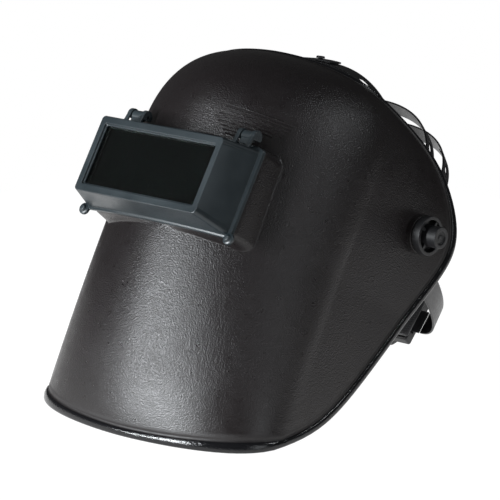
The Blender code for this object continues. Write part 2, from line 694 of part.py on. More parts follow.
def make_tension_knob(side, outward, parent):
    """Wheel with a raised ring, a hub that stands out, and four spokes between them."""
    bore = STUD_R + 0.0004
    ring_in = KNOB_R - 0.0026
    floor_x, bottom = KNOB_X0 + 0.0020, KNOB_X0
    profile = ((bore, bottom), (KNOB_R, bottom), (KNOB_R, KNOB_X1 - 0.0008),
               (KNOB_R - 0.0008, KNOB_X1), (ring_in, KNOB_X1), (ring_in, floor_x),
               (KNOB_HUB_R, floor_x), (KNOB_HUB_R, KNOB_HUB_X - 0.0008),
               (KNOB_HUB_R - 0.0008, KNOB_HUB_X), (0.0046, KNOB_HUB_X),
               (0.0046, KNOB_HUB_X - 0.0015), (0.0, KNOB_HUB_X - 0.0015),
               (0.0, KNOB_HUB_X - 0.0028), (bore, KNOB_HUB_X - 0.0028))
    knob = part(f"tension_knob_{side}", turned_mesh(profile, 24, outward), "ratchet_plastic", parent)
    sign = 1.0 if outward == "x" else -1.0
    spokes = []
    for turn in range(4):
        low, high = sorted((sign * (floor_x - 0.0005), sign * (KNOB_X1 - 0.0010)))
        spoke = box_mesh((low, KNOB_HUB_R - 0.0010, -0.0011), (high, ring_in + 0.0010, 0.0011))
        spokes.append(cutter(spoke, parent, (0, 0, 0), (math.radians(45.0 + 90.0 * turn), 0, 0)))
    boolean(knob, "UNION", spokes)


# ---- headgear ----------------------------------------------------------------------------
def head_point(turn):
    """Plan of the head band: 0 at the wearer's left side, 90 degrees at the forehead."""
    power = 2.0 / HEAD_POWER
    across, forward = math.cos(turn), math.sin(turn)
    return (math.copysign(HEAD_X * abs(across) ** power, across),
            -math.copysign(HEAD_FRONT * abs(forward) ** power, forward))


def front_band_rows(offset, height, turns):
    """Rows of points on a sheet that follows the forehead, higher in front."""
    rows = []
    for turn in turns:
        x, y = head_point(turn)
        nx, ny = x / HEAD_X ** 2, y / HEAD_FRONT ** 2
        size = math.hypot(nx, ny)
        x, y = x + offset * nx / size, y + offset * ny / size
        middle = FRONT_BAND_Z + FRONT_BAND_RISE * max(0.0, -y / HEAD_FRONT)
        rows.append([(x, y, middle - height / 2), (x, y, middle + height / 2)])
    return rows


def make_front_band():
    turns = [math.radians(-12.0 + 102.0 * k / 14) for k in range(15)]
    rows = front_band_rows(0.0, FRONT_BAND_H, turns)
    rows[-1] = [(0.0, y, z) for _, y, z in rows[-1]]
    band = part("front_band", grid_mesh(rows), "band_plastic", HEAD)
    mirrored(band)
    thicken(band, BAND_T, 0.0)


def make_sweatband():
    """Soft pad inside the forehead, a plain block here."""
    turns = [math.radians(38.0 + 52.0 * k / 10) for k in range(11)]
    rows = front_band_rows(-BAND_T / 2 - 0.0046, FRONT_BAND_H + 0.0030, turns)
    rows[-1] = [(0.0, y, z) for _, y, z in rows[-1]]
    pad = part("sweatband", grid_mesh(rows), "foam_pad", HEAD)
    mirrored(pad)
    thicken(pad, 0.0070, 0.0)


def sheet_along(name, path, spread, thickness, finish, parent):
    """A band: a path of points, widened both ways by a vector and thickened."""
    rows = [[tuple(Vector(p) - spread / 2), tuple(Vector(p) + spread / 2)] for p in path]
    band = part(name, grid_mesh(rows), finish, parent)
    thicken(band, thickness, 0.0)
    return band


def make_side_arm(side, sign):
    """Hanger from the stud to the front band, its round end keyed on the stud."""
    path = [(sign * x, y, 0.0) for x, y in ARM_PATH]
    path = [(x, y, FRONT_BAND_Z + 0.16 * max(0.0, -y) - 0.006) for x, y, _ in path]
    arm = sheet_along(f"side_arm_{side}", path, Vector((0, 0, 0.0150)), 0.0020, "band_plastic", HEAD)
    low, high = sorted((sign * 0.1006, sign * 0.1026))
    boolean(arm, "UNION", [cutter(rod_mesh(0.0115, low, high, "x", 24), HEAD)])
    low, high = sorted((sign * 0.095, sign * 0.108))
    bore = cutter(rod_mesh(STUD_R + 0.0004, low, high, "x", 16), HEAD)
    boolean(arm, "DIFFERENCE", [bore])


def strap_width(lean):
    return Vector((0.0, math.cos(lean), -math.sin(lean)))


def strap_point(turn, size):
    """Point on the middle line of a strap, 90 degrees being the top of the head."""
    half_x, top, lean, shift = size
    if turn < 0.0:
        x, up = half_x, STRAP_BASE_Z + half_x * turn
    else:
        x = half_x * math.copysign(abs(math.cos(turn)) ** STRAP_POWER, math.cos(turn))
        up = STRAP_BASE_Z + (top - STRAP_BASE_Z) * math.sin(turn) ** STRAP_POWER
    return Vector((x, up * math.sin(lean), up * math.cos(lean))) + strap_width(lean) * shift


def cut_slots(strap, size, turns, sign=1.0):
    """Long holes along a strap, for pegs."""
    length, half = 0.0080, 0.0024
    ends = arc((length / 2, 0.0), half, -90.0, 90.0, 3) + arc((-length / 2, 0.0), half, 90.0, 270.0, 3)
    width = strap_width(size[2])
    tools = []
    for degrees in turns:
        here = strap_point(math.radians(degrees), size)
        along = strap_point(math.radians(degrees) + 0.02, size) - here
        here.x, along.x = sign * here.x, sign * along.x
        along.normalize()
        frame = Matrix((along, width, along.cross(width))).transposed().to_4x4()
        frame.translation = here
        mesh = outline_mesh(ends, -0.0060, 0.0060, "z")
        mesh.transform(frame)
        tools.append(cutter(mesh, HEAD))
    boolean(strap, "DIFFERENCE", tools)


def make_crown_straps():
    """Two halves that overlap and peg together on top of the head."""
    _, top, lean, shift = CROWN_STRAP
    up, place = Vector((0.0, math.sin(lean), math.cos(lean))), strap_width(lean) * shift
    peg = ((0.0, top - 0.0030), (0.0042, top - 0.0030), (0.0042, top - 0.0012),
           (RIVET_R, top - 0.0012), (RIVET_R, top + 0.0030), (0.0036, top + 0.0030),
           (0.0030, top + 0.0046), (0.0, top + 0.0046))
    part("crown_peg", turned_mesh(peg, 14), "band_plastic", HEAD, place, (-lean, 0.0, 0.0))
    bore = cutter(rod_mesh(RIVET_R + 0.0004, top - 0.006, top + 0.006, "z", 12), HEAD, place,
                  (-lean, 0.0, 0.0))
    for side, sign, lift in (("left", 1.0, 0.0), ("right", -1.0, LAP_RISE)):
        path = [strap_point(math.radians(CROWN_TAIL), CROWN_STRAP)]
        path += [strap_point(math.radians(98.0 * k / 14), CROWN_STRAP) + up * lift * min(1.0, k / 10)
                 for k in range(15)]
        path = [(sign * p.x, p.y, p.z) for p in path]
        strap = sheet_along(f"crown_strap_{side}", path, STRAP_W * strap_width(lean), STRAP_T,
                            "band_plastic", HEAD)
        cut_slots(strap, CROWN_STRAP, (24.0, 36.0, 48.0, 60.0), sign)
        boolean(strap, "DIFFERENCE", [bore])


def make_back_strap(name, size):
    """A strap in one piece from ear to ear, behind the crown."""
    path = [strap_point(math.radians(LONG_TAIL), size)]
    path += [strap_point(math.radians(180.0 * k / 22), size) for k in range(23)]
    path.append(Vector((-path[0].x, path[0].y, path[0].z)))
    strap = sheet_along(name, path, STRAP_W * strap_width(size[2]), STRAP_T, "band_plastic", HEAD)
    cut_slots(strap, size, (24.0, 38.0, 52.0, 128.0, 142.0, 156.0))


def rear_band_path(sign):
    """From the side of the head round to the ratchet case, as a Bezier curve."""
    side_x = HEAD_X + 0.0035
    points = [Vector(p) for p in ((side_x, 0.0110), (0.0860, 0.0850), (0.0640, NAPE_BAND_Y),
                                  (RACK_OUT + 0.0005, NAPE_BAND_Y))]
    path = []
    for k in range(15):
        t = k / 14
        plan = (points[0] * (1 - t) ** 3 + points[1] * 3 * t * (1 - t) ** 2
                + points[2] * 3 * t * t * (1 - t) + points[3] * t ** 3)
        fall = (plan.y - points[0].y) / (points[3].y - points[0].y)
        path.append(Vector((sign * plan.x, plan.y, -0.0020 + (NAPE_BAND_Z + 0.0020) * fall)))
    return path


def make_rear_band(side, sign):
    """Flexible band from the temple back to the rack."""
    path = rear_band_path(sign)
    rows = []
    for k, point in enumerate(path):
        share = k / (len(path) - 1)
        half = 0.0115 + (RACK_Z - 0.0004 - 0.0115) * share
        tilt = NAPE_TILT * share
        spread = Vector((0.0, half * math.sin(tilt), half * math.cos(tilt)))
        rows.append([tuple(point - spread), tuple(point + spread)])
    band = part(f"rear_band_{side}", grid_mesh(rows), "band_plastic", HEAD)
    thicken(band, BAND_T, 0.0)


def make_rivet(name, inner, outer, low, high, layers):
    """A rivet from one point towards another, and its bores in the layers it joins."""
    inner, outer = Vector(inner), Vector(outer)
    turn = turn_to(outer - inner)
    profile = ((0.0, low - 0.0010), (0.0034, low - 0.0010), (0.0034, low), (RIVET_R, low),
               (RIVET_R, high), (0.0036, high), (0.0028, high + 0.0012), (0.0, high + 0.0014))
    part(name, turned_mesh(profile, 12), "zinc_steel", HEAD, inner, turn)
    bore = rod_mesh(RIVET_R + 0.0004, low - 0.004, high + 0.004, "z", 12)
    for layer in layers:
        boolean(bpy.data.objects[layer], "DIFFERENCE", [cutter(bore.copy(), HEAD, inner, turn)])


def make_rivets():
    half = BAND_T / 2 + GAP
    for side, sign in (("left", 1.0), ("right", -1.0)):
        for name, (y, z), inner, strap, layers in (
                ("crown_rivet", CROWN_RIVET, HEAD_X - half, CROWN_STRAP, (f"crown_strap_{side}",)),
                ("mid_rivet", MID_RIVET, HEAD_X - half - 0.0006, MID_STRAP, ("mid_strap",)),
                ("side_rivet", SIDE_RIVET, HEAD_X - half - 0.0014, REAR_STRAP,
                 ("rear_strap", f"rear_band_{side}"))):
            make_rivet(f"{name}_{side}", (0.0, y, z), (sign, y, z), inner,
                       strap[0] + STRAP_T / 2 + GAP, ("front_band", *layers))
        x, y = (ARM_PATH[-1][0] + ARM_PATH[-2][0]) / 2, (ARM_PATH[-1][1] + ARM_PATH[-2][1]) / 2
        ahead = Vector((ARM_PATH[-1][0] - ARM_PATH[-2][0], ARM_PATH[-1][1] - ARM_PATH[-2][1]))
        normal = Vector((-ahead.y, ahead.x)).normalized()
        z = FRONT_BAND_Z + FRONT_BAND_RISE * -y / HEAD_FRONT
        start = Vector((sign * x, y, z))
        make_rivet(f"arm_rivet_{side}", start, start + Vector((sign * normal.x, normal.y, 0.0)),
                   -0.0010 - BAND_T - 3.5 * GAP, 0.0010 + GAP, ("front_band", f"side_arm_{side}"))


# ---- nape ratchet ----------------------------------------------------------------------
def make_ratchet_case():
    case = part("ratchet_case", box_mesh((-CASE_X, COVER_Y, -CASE_Z), (CASE_X, CASE_BACK, CASE_Z),
                                         0.0012), "ratchet_plastic", NAPE)
    cavity = box_mesh((-CAVITY_X, COVER_Y - 0.01, -CAVITY_Z), (CAVITY_X, CAVITY_BACK, CAVITY_Z))
    mouths = box_mesh((-0.05, COVER_Y - 0.01, -RACK_Z - 0.0006), (0.05, -0.0010, RACK_Z + 0.0006))
    bore = rod_mesh(0.0031, -0.010, 0.010, "y", 16)
    tools = [cutter(mesh, NAPE) for mesh in (cavity, mouths, bore)]
    holes = [cutter(rod_mesh(0.0014, -0.0075, 0.010, "y", 8, place), NAPE)
             for place in CASE_SCREWS.values()]
    boolean(case, "DIFFERENCE", tools + holes)
    cover_back = COVER_Y - GAP
    cover = part("ratchet_cover", box_mesh((-CASE_X, cover_back - 0.0018, -CASE_Z),
                                           (CASE_X, cover_back, CASE_Z), 0.0006),
                 "ratchet_plastic", NAPE)
    boolean(cover, "DIFFERENCE", holes)
    for name, (x, z) in CASE_SCREWS.items():
        head = CASE_BACK + GAP
        profile = ((0.0, COVER_Y - 0.0014), (0.0010, COVER_Y - 0.0014), (0.0010, head),
                   (0.0024, head), (0.0024, head + 0.0008), (0.0016, head + 0.0014),
                   (0.0, head + 0.0014))
        part(f"case_screw_{name}", turned_mesh(profile, 10, "y"), "zinc_steel", NAPE, (x, 0.0, z))
    pad_y = cover_back - 0.0018 - 0.0004
    part("nape_pad", box_mesh((-0.0420, pad_y - 0.0070, -0.0200), (0.0420, pad_y, 0.0200), 0.0025),
         "foam_pad", NAPE)


def gear_outline(teeth, pitch_r):
    """Teeth with straight flanks, the first one pointing up."""
    points = []
    steps = ((-0.00092, -0.0010), (-0.00060, 0.0), (-0.00032, 0.0008),
             (0.00032, 0.0008), (0.00060, 0.0), (0.00092, -0.0010))
    for k in range(teeth):
        angle = math.pi / 2 - 2.0 * math.pi * k / teeth
        for across, out in steps:
            radius = pitch_r + out
            x, z = radius * math.cos(angle), radius * math.sin(angle)
            points.append((x + across * math.sin(angle), z - across * math.cos(angle)))
    return points


def rack_slot(sign):
    """Outline of a rack's long hole: teeth on one edge, the other edge plain."""
    start, end = -0.0085, 0.0210
    first, last = math.ceil(start / PITCH), math.floor(end / PITCH)
    root, pitch_line, tip = PINION_R + 0.0013, PINION_R, PINION_R - 0.0008
    points = [(start, -PINION_R - 0.0013), (start, tip)]
    for k in range(first, last + 1):
        x = k * PITCH
        for across, z in ((-0.00120, tip), (-0.00098, pitch_line), (-0.00060, root),
                          (0.00060, root), (0.00098, pitch_line), (0.00120, tip)):
            points.append((x + across, z))
    points += [(end, tip), (end, -PINION_R - 0.0013)]
    return [(sign * x, sign * z) for x, z in points]


def make_rack(side, sign):
    """Toothed end of a rear band; the left one has its teeth on top, the right one below."""
    low_y, high_y = RACK_LAYERS[side]
    ends = sorted((-sign * RACK_END, sign * RACK_OUT))
    rack = part(f"rack_{side}", box_mesh((ends[0], low_y, -RACK_Z), (ends[1], high_y, RACK_Z)),
                "band_plastic", empty(f"slide_{side}", NAPE, (0.0, 0.0, 0.0)))
    slot = outline_mesh(rack_slot(sign), low_y - 0.002, high_y + 0.002, "y")
    boolean(rack, "DIFFERENCE", [cutter(slot, NAPE)])


def make_ratchet_drive():
    """Pinion with its shaft, spring washer, knob and the knob's screw."""
    pinion = part("pinion", outline_mesh(gear_outline(PINION_TEETH, PINION_R), -0.0051, -0.0013, "y"),
                  "ratchet_plastic", RATCHET_AXIS)
    boolean(pinion, "UNION", [cutter(rod_mesh(0.0027, -0.0050, 0.0080, "y", 14), RATCHET_AXIS)])
    washer = ((0.0032, -0.0008), (0.0095, -0.0008), (0.0095, 0.0002), (0.0032, 0.0012))
    part("ratchet_spring", turned_mesh(washer, 18, "y"), "zinc_steel", NAPE)
    grips, steps = 12, 4
    outline = []
    for k in range(grips * steps):
        angle = 2.0 * math.pi * k / (grips * steps)
        radius = RATCHET_R - 0.0009 * (1.0 - math.cos(grips * angle)) / 2.0
        outline.append((radius * math.cos(angle), radius * math.sin(angle)))
    knob = part("ratchet_knob", outline_mesh(outline, RATCHET_Y0, RATCHET_Y1, "y"),
                "ratchet_plastic", RATCHET_AXIS)
    dish = turned_mesh(((0.0, RATCHET_Y1 - 0.0016), (0.0120, RATCHET_Y1 - 0.0016),
                        (0.0140, RATCHET_Y1 + 0.002), (0.0, RATCHET_Y1 + 0.002)), 24, "y")
    bore = rod_mesh(0.0030, 0.0, 0.0083, "y", 14)
    boolean(knob, "DIFFERENCE", [cutter(mesh, RATCHET_AXIS) for mesh in (dish, bore)])
    head = RATCHET_Y1 - 0.0016 + GAP
    cap = ((0.0, head), (0.0046, head), (0.0046, head + 0.0008), (0.0034, head + 0.0018),
           (0.0, head + 0.0018))
    part("knob_cap", turned_mesh(cap, 14, "y"), "ratchet_plastic", RATCHET_AXIS)


# ---- the whole helmet ----------------------------------------------------------------------
clear_scene()
PARTS, CUTTERS = collection("welding_helmet"), collection("cutters")
HELMET = empty("helmet", None, (0.0, -CENTRE_Y, 0.0))
LENS = empty("lens_plane", HELMET, (0.0, LENS_Y, LENS_Z), -LENS_TILT)
FLIP = empty("flip_hinge", LENS, (0.0, HINGE_Y, HINGE_Z))
HEAD = empty("head", HELMET, (0.0, PIVOT_Y, PIVOT_Z), -HEAD_PITCH)
NAPE = empty("nape", HEAD, (0.0, NAPE_Y, NAPE_Z), -NAPE_TILT)
RATCHET_AXIS = empty("ratchet_axis", NAPE, (0.0, 0.0, 0.0))
SCREW_HOLES = make_screw_holes()

make_shell()
make_base_frame()
make_inner_frame()
make_frame_screws()
make_safety_window()
make_flip_box()
make_hinge_pins()
make_filter_stack()
make_front_band()
make_sweatband()
make_crown_straps()
make_back_strap("mid_strap", MID_STRAP)
make_back_strap("rear_strap", REAR_STRAP)
for label, direction in (("left", 1.0), ("right", -1.0)):
    make_pivot(label, direction)
    make_side_arm(label, direction)
    make_rear_band(label, direction)
    make_rack(label, direction)
make_rivets()
make_ratchet_case()
make_ratchet_drive()
bpy.context.view_layer.update()
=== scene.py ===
"""Looks of the welding helmet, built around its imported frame.

Metres, +Z up, the face towards -Y.  The shell's surface is worked out from the same
driving dimensions as the part: points are found in the lens plane's frame, x across,
y back into the helmet and z up the face, and then turned into the helmet's frame.
"""

import json
import math

import bmesh
import bpy
import numpy as np
from mathutils import Matrix, Vector

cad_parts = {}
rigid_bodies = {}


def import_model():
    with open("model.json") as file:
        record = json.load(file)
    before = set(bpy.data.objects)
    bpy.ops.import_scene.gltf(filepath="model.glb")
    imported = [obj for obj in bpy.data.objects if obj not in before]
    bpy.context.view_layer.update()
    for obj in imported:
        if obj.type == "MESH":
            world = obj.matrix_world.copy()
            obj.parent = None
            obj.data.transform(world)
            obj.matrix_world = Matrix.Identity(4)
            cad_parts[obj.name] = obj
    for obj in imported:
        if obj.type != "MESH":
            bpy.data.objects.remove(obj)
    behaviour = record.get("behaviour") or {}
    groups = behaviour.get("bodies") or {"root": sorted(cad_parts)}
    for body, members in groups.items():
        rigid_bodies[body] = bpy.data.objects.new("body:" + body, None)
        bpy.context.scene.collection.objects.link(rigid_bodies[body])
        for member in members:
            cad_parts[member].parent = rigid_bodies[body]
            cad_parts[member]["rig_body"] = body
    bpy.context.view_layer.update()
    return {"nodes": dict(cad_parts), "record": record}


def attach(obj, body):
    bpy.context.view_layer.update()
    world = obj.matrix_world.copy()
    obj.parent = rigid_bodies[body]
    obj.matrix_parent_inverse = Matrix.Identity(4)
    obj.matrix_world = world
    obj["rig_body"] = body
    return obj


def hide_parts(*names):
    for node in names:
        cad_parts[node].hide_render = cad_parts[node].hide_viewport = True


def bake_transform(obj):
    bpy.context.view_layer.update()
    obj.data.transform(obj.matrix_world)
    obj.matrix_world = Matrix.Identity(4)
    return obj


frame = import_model()

# ---- where the frames stand -----------------------------------------------------------
CENTRE_Y = 0.1661
LENS_Y, LENS_Z, LENS_TILT = 0.0380, 0.1917, math.radians(33.07)
PIVOT_Y, PIVOT_Z, HEAD_PITCH = 0.2055, 0.1275, math.radians(24.0)
NAPE_Y, NAPE_Z, NAPE_TILT = 0.1360, -0.0533, math.radians(20.0)

# ---- the shell's surface ----------------------------------------------------------------
WALL = 0.0025
CENTRE_BACK, FRONT_REACH, REACH_Z = 0.1184, 0.0934, 0.0574
CROWN_Z, CHIN_Z, CHIN_POWER = 0.1310, -0.2181, 1.87
HALF_WIDTH, HALF_WIDTH_CHIN, WIDEST_Z = 0.1043, 0.1122, -0.0240
WIDTH_POWER, SECTION_POWER, FLARE = 4.10, 1.79, 1.57
CHIN_LEVEL = 0.1810
CORE = Vector((0.0, 0.1250, -0.0100))
RIM_LINES = ((0.1000, 0.0040, 35.2), (0.2480, 0.1200, 93.0), (0.2705, 0.1450, 131.3))
RIM_ROUND, RIM_ROLL_FLOOR = 0.0103, -0.0002
SEAT_X, SEAT_SIDE = 0.0687, 0.0361
APERTURE = (0.0588, -0.0286, 0.0300, 0.0030)
FLANGE = (0.0672, -0.0318, 0.0366, 0.0050)
SEAT_FOOT = (0.0705, -0.0348, 0.0384, 0.0080)
LONG_SEGS, SHORT_SEGS, CORNER_SEGS = 56, 40, 8
HALF_RING = LONG_SEGS + SHORT_SEGS + 2 * CORNER_SEGS + 1
SEAT_ROWS, WALL_ROWS, FACE_ROWS, BEAD_ROWS = 10, 8, 130, 26
BORDER, BORDER_FADE = 0.0080, 0.0300     # the smoother border and how softly it begins
BEAD_WIDTH, BEAD_HEIGHT = 0.0046, 0.0014
GROOVE_DEPTH, GROOVE_OUT, GROOVE_HALF = 0.0005, 0.0009, 0.0008      # just inside the rolled edge
ZONE_FACE, ZONE_PAD, ZONE_BORDER, ZONE_GROOVE, ZONE_BEAD = 0.0, 0.25, 0.5, 0.6, 1.0
PEBBLE_SCALE, PEBBLE_DEPTH = 1150.0, 0.00044
LINE_COUNT, LINE_LOW, LINE_GAP = 9, 0.0420, 0.0026     # the raised lines on the brow
LINE_X, LINE_LEAN, LINE_SHORT, LINE_GROWTH = 0.0365, 0.0012, 0.0070, 0.0160
LINE_HALF, LINE_RISE, LINE_SIDES = 0.00060, 0.00085, 8

# ---- lens holder -------------------------------------------------------------------------
PLATE_X, PLATE_Z = 0.0540, 0.0255
BOX_X, BOX_Z, BOX_FLARE, BOX_WALL = 0.0580, 0.0291, (0.3340, 0.0940, 0.1450), 0.0025
LIP = 0.0016
COLLAR = (0.0566, -0.0270, 0.0280, 0.0030)
TONGUE = (0.0560, -0.0268, 0.0274, 0.0025)
POCKET = (0.0543, -0.0258, 0.0258, 0.0010)
LIP_HOLE = (0.0515, -0.0225, 0.0225, 0.0020)
FLANGE_OUT, FLANGE_IN, COLLAR_Y = 0.0029, 0.0004, 0.0130
HINGE_X, HINGE_Y, HINGE_Z = 0.0527, 0.0300, 0.0424
EAR_R, EAR_T, KNUCKLE_R, KNUCKLE_W = 0.0050, 0.0034, 0.0040, 0.0088
BUMP_X, BUMP_Y, BUMP_Z = 0.0695, 0.0316, -0.0338

# ---- pivots and headgear -------------------------------------------------------------------
BOSS_R, BOSS_IN, BOSS_OUT, STUD_R = 0.0140, 0.1058, 0.1156, 0.0030
KNOB_R, KNOB_X0, KNOB_X1, KNOB_HUB_R, KNOB_HUB_X = 0.0145, 0.1171, 0.1236, 0.0080, 0.1330
HEAD_X, HEAD_FRONT, HEAD_POWER = 0.0780, 0.0980, 2.2
BAND_T = 0.0016
FRONT_BAND_H, FRONT_BAND_Z, FRONT_BAND_RISE = 0.0280, 0.0060, 0.0220
STRAP_T, STRAP_W, STRAP_BASE_Z, STRAP_POWER = 0.0014, 0.0140, 0.0230, 0.87
CROWN_STRAP = (0.0820, 0.1119, math.radians(-13.7), 0.0020)
MID_STRAP = (0.0840, 0.1140, math.radians(27.0), 0.0074)
REAR_STRAP = (0.0865, 0.1233, math.radians(37.2), 0.0177)
LAP_RISE = 0.0018
RACK_Z, RACK_OUT = 0.0094, 0.0415
RATCHET_R, RATCHET_Y0, RATCHET_Y1 = 0.0190, 0.0042, 0.0140
CASE_HALF_T, COVER_GAP, COVER_T, PAD_GAP, PAD_X, PAD_Z = 0.0056, 0.0003, 0.0018, 0.0004, 0.0405, 0.0188
NAPE_BAND_Y = NAPE_Y - 0.0032 * math.cos(NAPE_TILT)
NAPE_BAND_Z = NAPE_Z + 0.0032 * math.sin(NAPE_TILT)

HELMET = Matrix.Translation((0.0, -CENTRE_Y, 0.0))
LENS = HELMET @ Matrix.Translation((0.0, LENS_Y, LENS_Z)) @ Matrix.Rotation(-LENS_TILT, 4, "X")
HEAD = HELMET @ Matrix.Translation((0.0, PIVOT_Y, PIVOT_Z)) @ Matrix.Rotation(-HEAD_PITCH, 4, "X")
NAPE = HEAD @ Matrix.Translation((0.0, NAPE_Y, NAPE_Z)) @ Matrix.Rotation(-NAPE_TILT, 4, "X")
SIDES = (("left", 1.0), ("right", -1.0))


# ---- materials -----------------------------------------------------------------------------
class Shader:
    """A node material under construction."""

    def __init__(self, name, color, roughness, metallic=0.0):
        self.material = bpy.data.materials.new(name)
        self.material.use_nodes = True
        self.tree = self.material.node_tree
        self.main = self.tree.nodes["Principled BSDF"]
        self.main.inputs["Base Color"].default_value = (*color, 1.0)
        self.main.inputs["Roughness"].default_value = roughness
        self.main.inputs["Metallic"].default_value = metallic
        self.color = self.main.inputs["Base Color"]
        self.base = (*color, 1.0)
        self.place = self.node("ShaderNodeTexCoord").outputs["Object"]
        self.bump = None

    def node(self, kind, **settings):
        made = self.tree.nodes.new(kind)
        for key, value in settings.items():
            setattr(made, key, value)
        return made

    def link(self, start, end):
        self.tree.links.new(start, end)

    def noise(self, scale, detail=3.0, stretch=None):
        made = self.node("ShaderNodeTexNoise")
        made.inputs["Scale"].default_value = scale
        made.inputs["Detail"].default_value = detail
        place = self.place
        if stretch:
            mapping = self.node("ShaderNodeMapping")
            mapping.inputs["Scale"].default_value = stretch
            self.link(place, mapping.inputs["Vector"])
            place = mapping.outputs["Vector"]
        self.link(place, made.inputs["Vector"])
        return made.outputs["Fac"]

    def cells(self, scale):
        made = self.node("ShaderNodeTexVoronoi", feature="SMOOTH_F1")
        made.inputs["Scale"].default_value = scale
        self.link(self.place, made.inputs["Vector"])
        return made.outputs["Distance"]

    def spread(self, value, low, high, to_low, to_high):
        made = self.node("ShaderNodeMapRange")
        for key, number in zip(("From Min", "From Max", "To Min", "To Max"),
                               (low, high, to_low, to_high)):
            made.inputs[key].default_value = number
        self.link(value, made.inputs["Value"])
        return made.outputs["Result"]

    def maths(self, operation, first, second):
        made = self.node("ShaderNodeMath", operation=operation)
        for k, value in enumerate((first, second)):
            if isinstance(value, (int, float)):
                made.inputs[k].default_value = value
            else:
                self.link(value, made.inputs[k])
        return made.outputs[0]

    def tint(self, factor, other):
        """Mix the colour so far with another, by a factor."""
        made = self.node("ShaderNodeMix", data_type="RGBA")
        links = self.color.links
        if links:
            self.link(links[0].from_socket, made.inputs[6])
        else:
            made.inputs[6].default_value = self.base
        made.inputs[7].default_value = (*other, 1.0)
        self.link(factor, made.inputs[0])
        self.link(made.outputs[2], self.color)

    def rough(self, value):
        self.link(value, self.main.inputs["Roughness"])

    def raise_by(self, height, strength, distance):
        made = self.node("ShaderNodeBump")
        made.inputs["Strength"].default_value = strength
        made.inputs["Distance"].default_value = distance
        self.link(height, made.inputs["Height"])
        if self.bump:
            self.link(self.bump.outputs["Normal"], made.inputs["Normal"])
        self.link(made.outputs["Normal"], self.main.inputs["Normal"])
        self.bump = made

    def edges(self, low, high):
        """Nearly 1 on convex edges, 0 elsewhere."""
        shape = self.node("ShaderNodeNewGeometry")
        return self.spread(shape.outputs["Pointiness"], low, high, 0.0, 1.0)


def moulded(name, color, roughness, grain=900.0, depth=0.25, wear=0.35, coat=0.0):
    """Moulded plastic: fine grain, uneven gloss, paler worn edges and faint dust."""
    shader = Shader(name, color, roughness)
    fine, broad = shader.noise(grain, 4.0), shader.noise(38.0, 4.0)
    paler = tuple(min(1.0, c * 1.9 + 0.010) for c in color)
    shader.tint(shader.spread(broad, 0.40, 0.75, 0.0, 0.35), paler)
    shader.tint(shader.maths("MULTIPLY", shader.edges(0.515, 0.58), wear),
                tuple(min(1.0, c * 3.0 + 0.045) for c in color))
    shader.rough(shader.spread(shader.maths("ADD", fine, broad), 0.75, 1.25,
                               roughness - 0.06, roughness + 0.10))
    shader.raise_by(fine, depth, 0.0002)
    shader.main.inputs["Coat Weight"].default_value = coat
    shader.main.inputs["Coat Roughness"].default_value = 0.25
    return shader.material


def shell_material():
    """Dark nylon: leather-like pebble, smoother border, scuffs, a glossy rolled edge."""
    shader = Shader("shell_pebble", (0.0082, 0.0064, 0.0066), 0.38)
    zone = shader.node("ShaderNodeAttribute", attribute_name="zone").outputs["Fac"]
    face = shader.spread(zone, ZONE_FACE, ZONE_BORDER, 1.0, 0.30)
    satin = shader.spread(zone, 0.52, ZONE_GROOVE, 0.0, 0.18)
    bead = shader.spread(zone, 0.75, 0.90, 0.0, 1.0)
    pebbles, fine = shader.cells(PEBBLE_SCALE), shader.noise(2.0 * PEBBLE_SCALE, 3.0)
    blotch, clouds = shader.noise(150.0, 5.0), shader.noise(16.0, 3.0)
    shader.tint(shader.spread(clouds, 0.42, 0.70, 0.0, 0.45), (0.0135, 0.0100, 0.0098))
    pits = shader.maths("MULTIPLY", shader.spread(pebbles, 0.18, 0.62, 0.0, 0.55), face)
    shader.tint(pits, (0.018, 0.015, 0.016))
    scuff = shader.noise(34.0, 6.0, (1.0, 5.0, 1.0))
    shader.tint(shader.spread(scuff, 0.66, 0.80, 0.0, 0.15), (0.060, 0.055, 0.052))
    shader.tint(bead, (0.006, 0.006, 0.007))
    gloss = shader.spread(blotch, 0.3, 0.7, 0.27, 0.37)
    gloss = shader.maths("ADD", gloss, satin)
    gloss = shader.maths("SUBTRACT", gloss, shader.maths("MULTIPLY", bead, 0.38))
    shader.rough(gloss)
    height = shader.maths("ADD", shader.maths("MULTIPLY", pebbles, 0.8),
                          shader.maths("MULTIPLY", fine, 0.35))
    height = shader.maths("MULTIPLY", height, shader.maths("ADD", face, 0.10))
    shader.raise_by(height, 0.75, PEBBLE_DEPTH)
    shader.raise_by(clouds, 0.04, 0.0020)
    shader.main.inputs["Specular IOR Level"].default_value = 0.50
    return shader.material


def steel():
    shader = Shader("zinc_plate", (0.50, 0.50, 0.48), 0.30, 1.0)
    brushed, spots = shader.noise(700.0, 4.0, (1.0, 1.0, 0.1)), shader.noise(90.0, 4.0)
    shader.tint(shader.spread(spots, 0.5, 0.75, 0.0, 0.5), (0.33, 0.32, 0.28))
    shader.rough(shader.spread(brushed, 0.3, 0.7, 0.22, 0.42))
    shader.raise_by(brushed, 0.15, 0.0001)
    return shader.material


def clear_plate():
    shader = Shader("clear_plate", (0.86, 0.92, 0.90), 0.03)
    shader.main.inputs["Transmission Weight"].default_value = 1.0
    shader.main.inputs["IOR"].default_value = 1.50
    shader.rough(shader.spread(shader.noise(60.0, 5.0), 0.45, 0.80, 0.015, 0.04))
    return shader.material


def filter_glass():
    shader = Shader("dark_filter", (0.0022, 0.0042, 0.0040), 0.06)
    shader.tint(shader.spread(shader.noise(40.0, 4.0), 0.5, 0.8, 0.0, 0.4), (0.006, 0.009, 0.009))
    shader.rough(shader.spread(shader.noise(120.0, 5.0), 0.4, 0.8, 0.05, 0.14))
    return shader.material


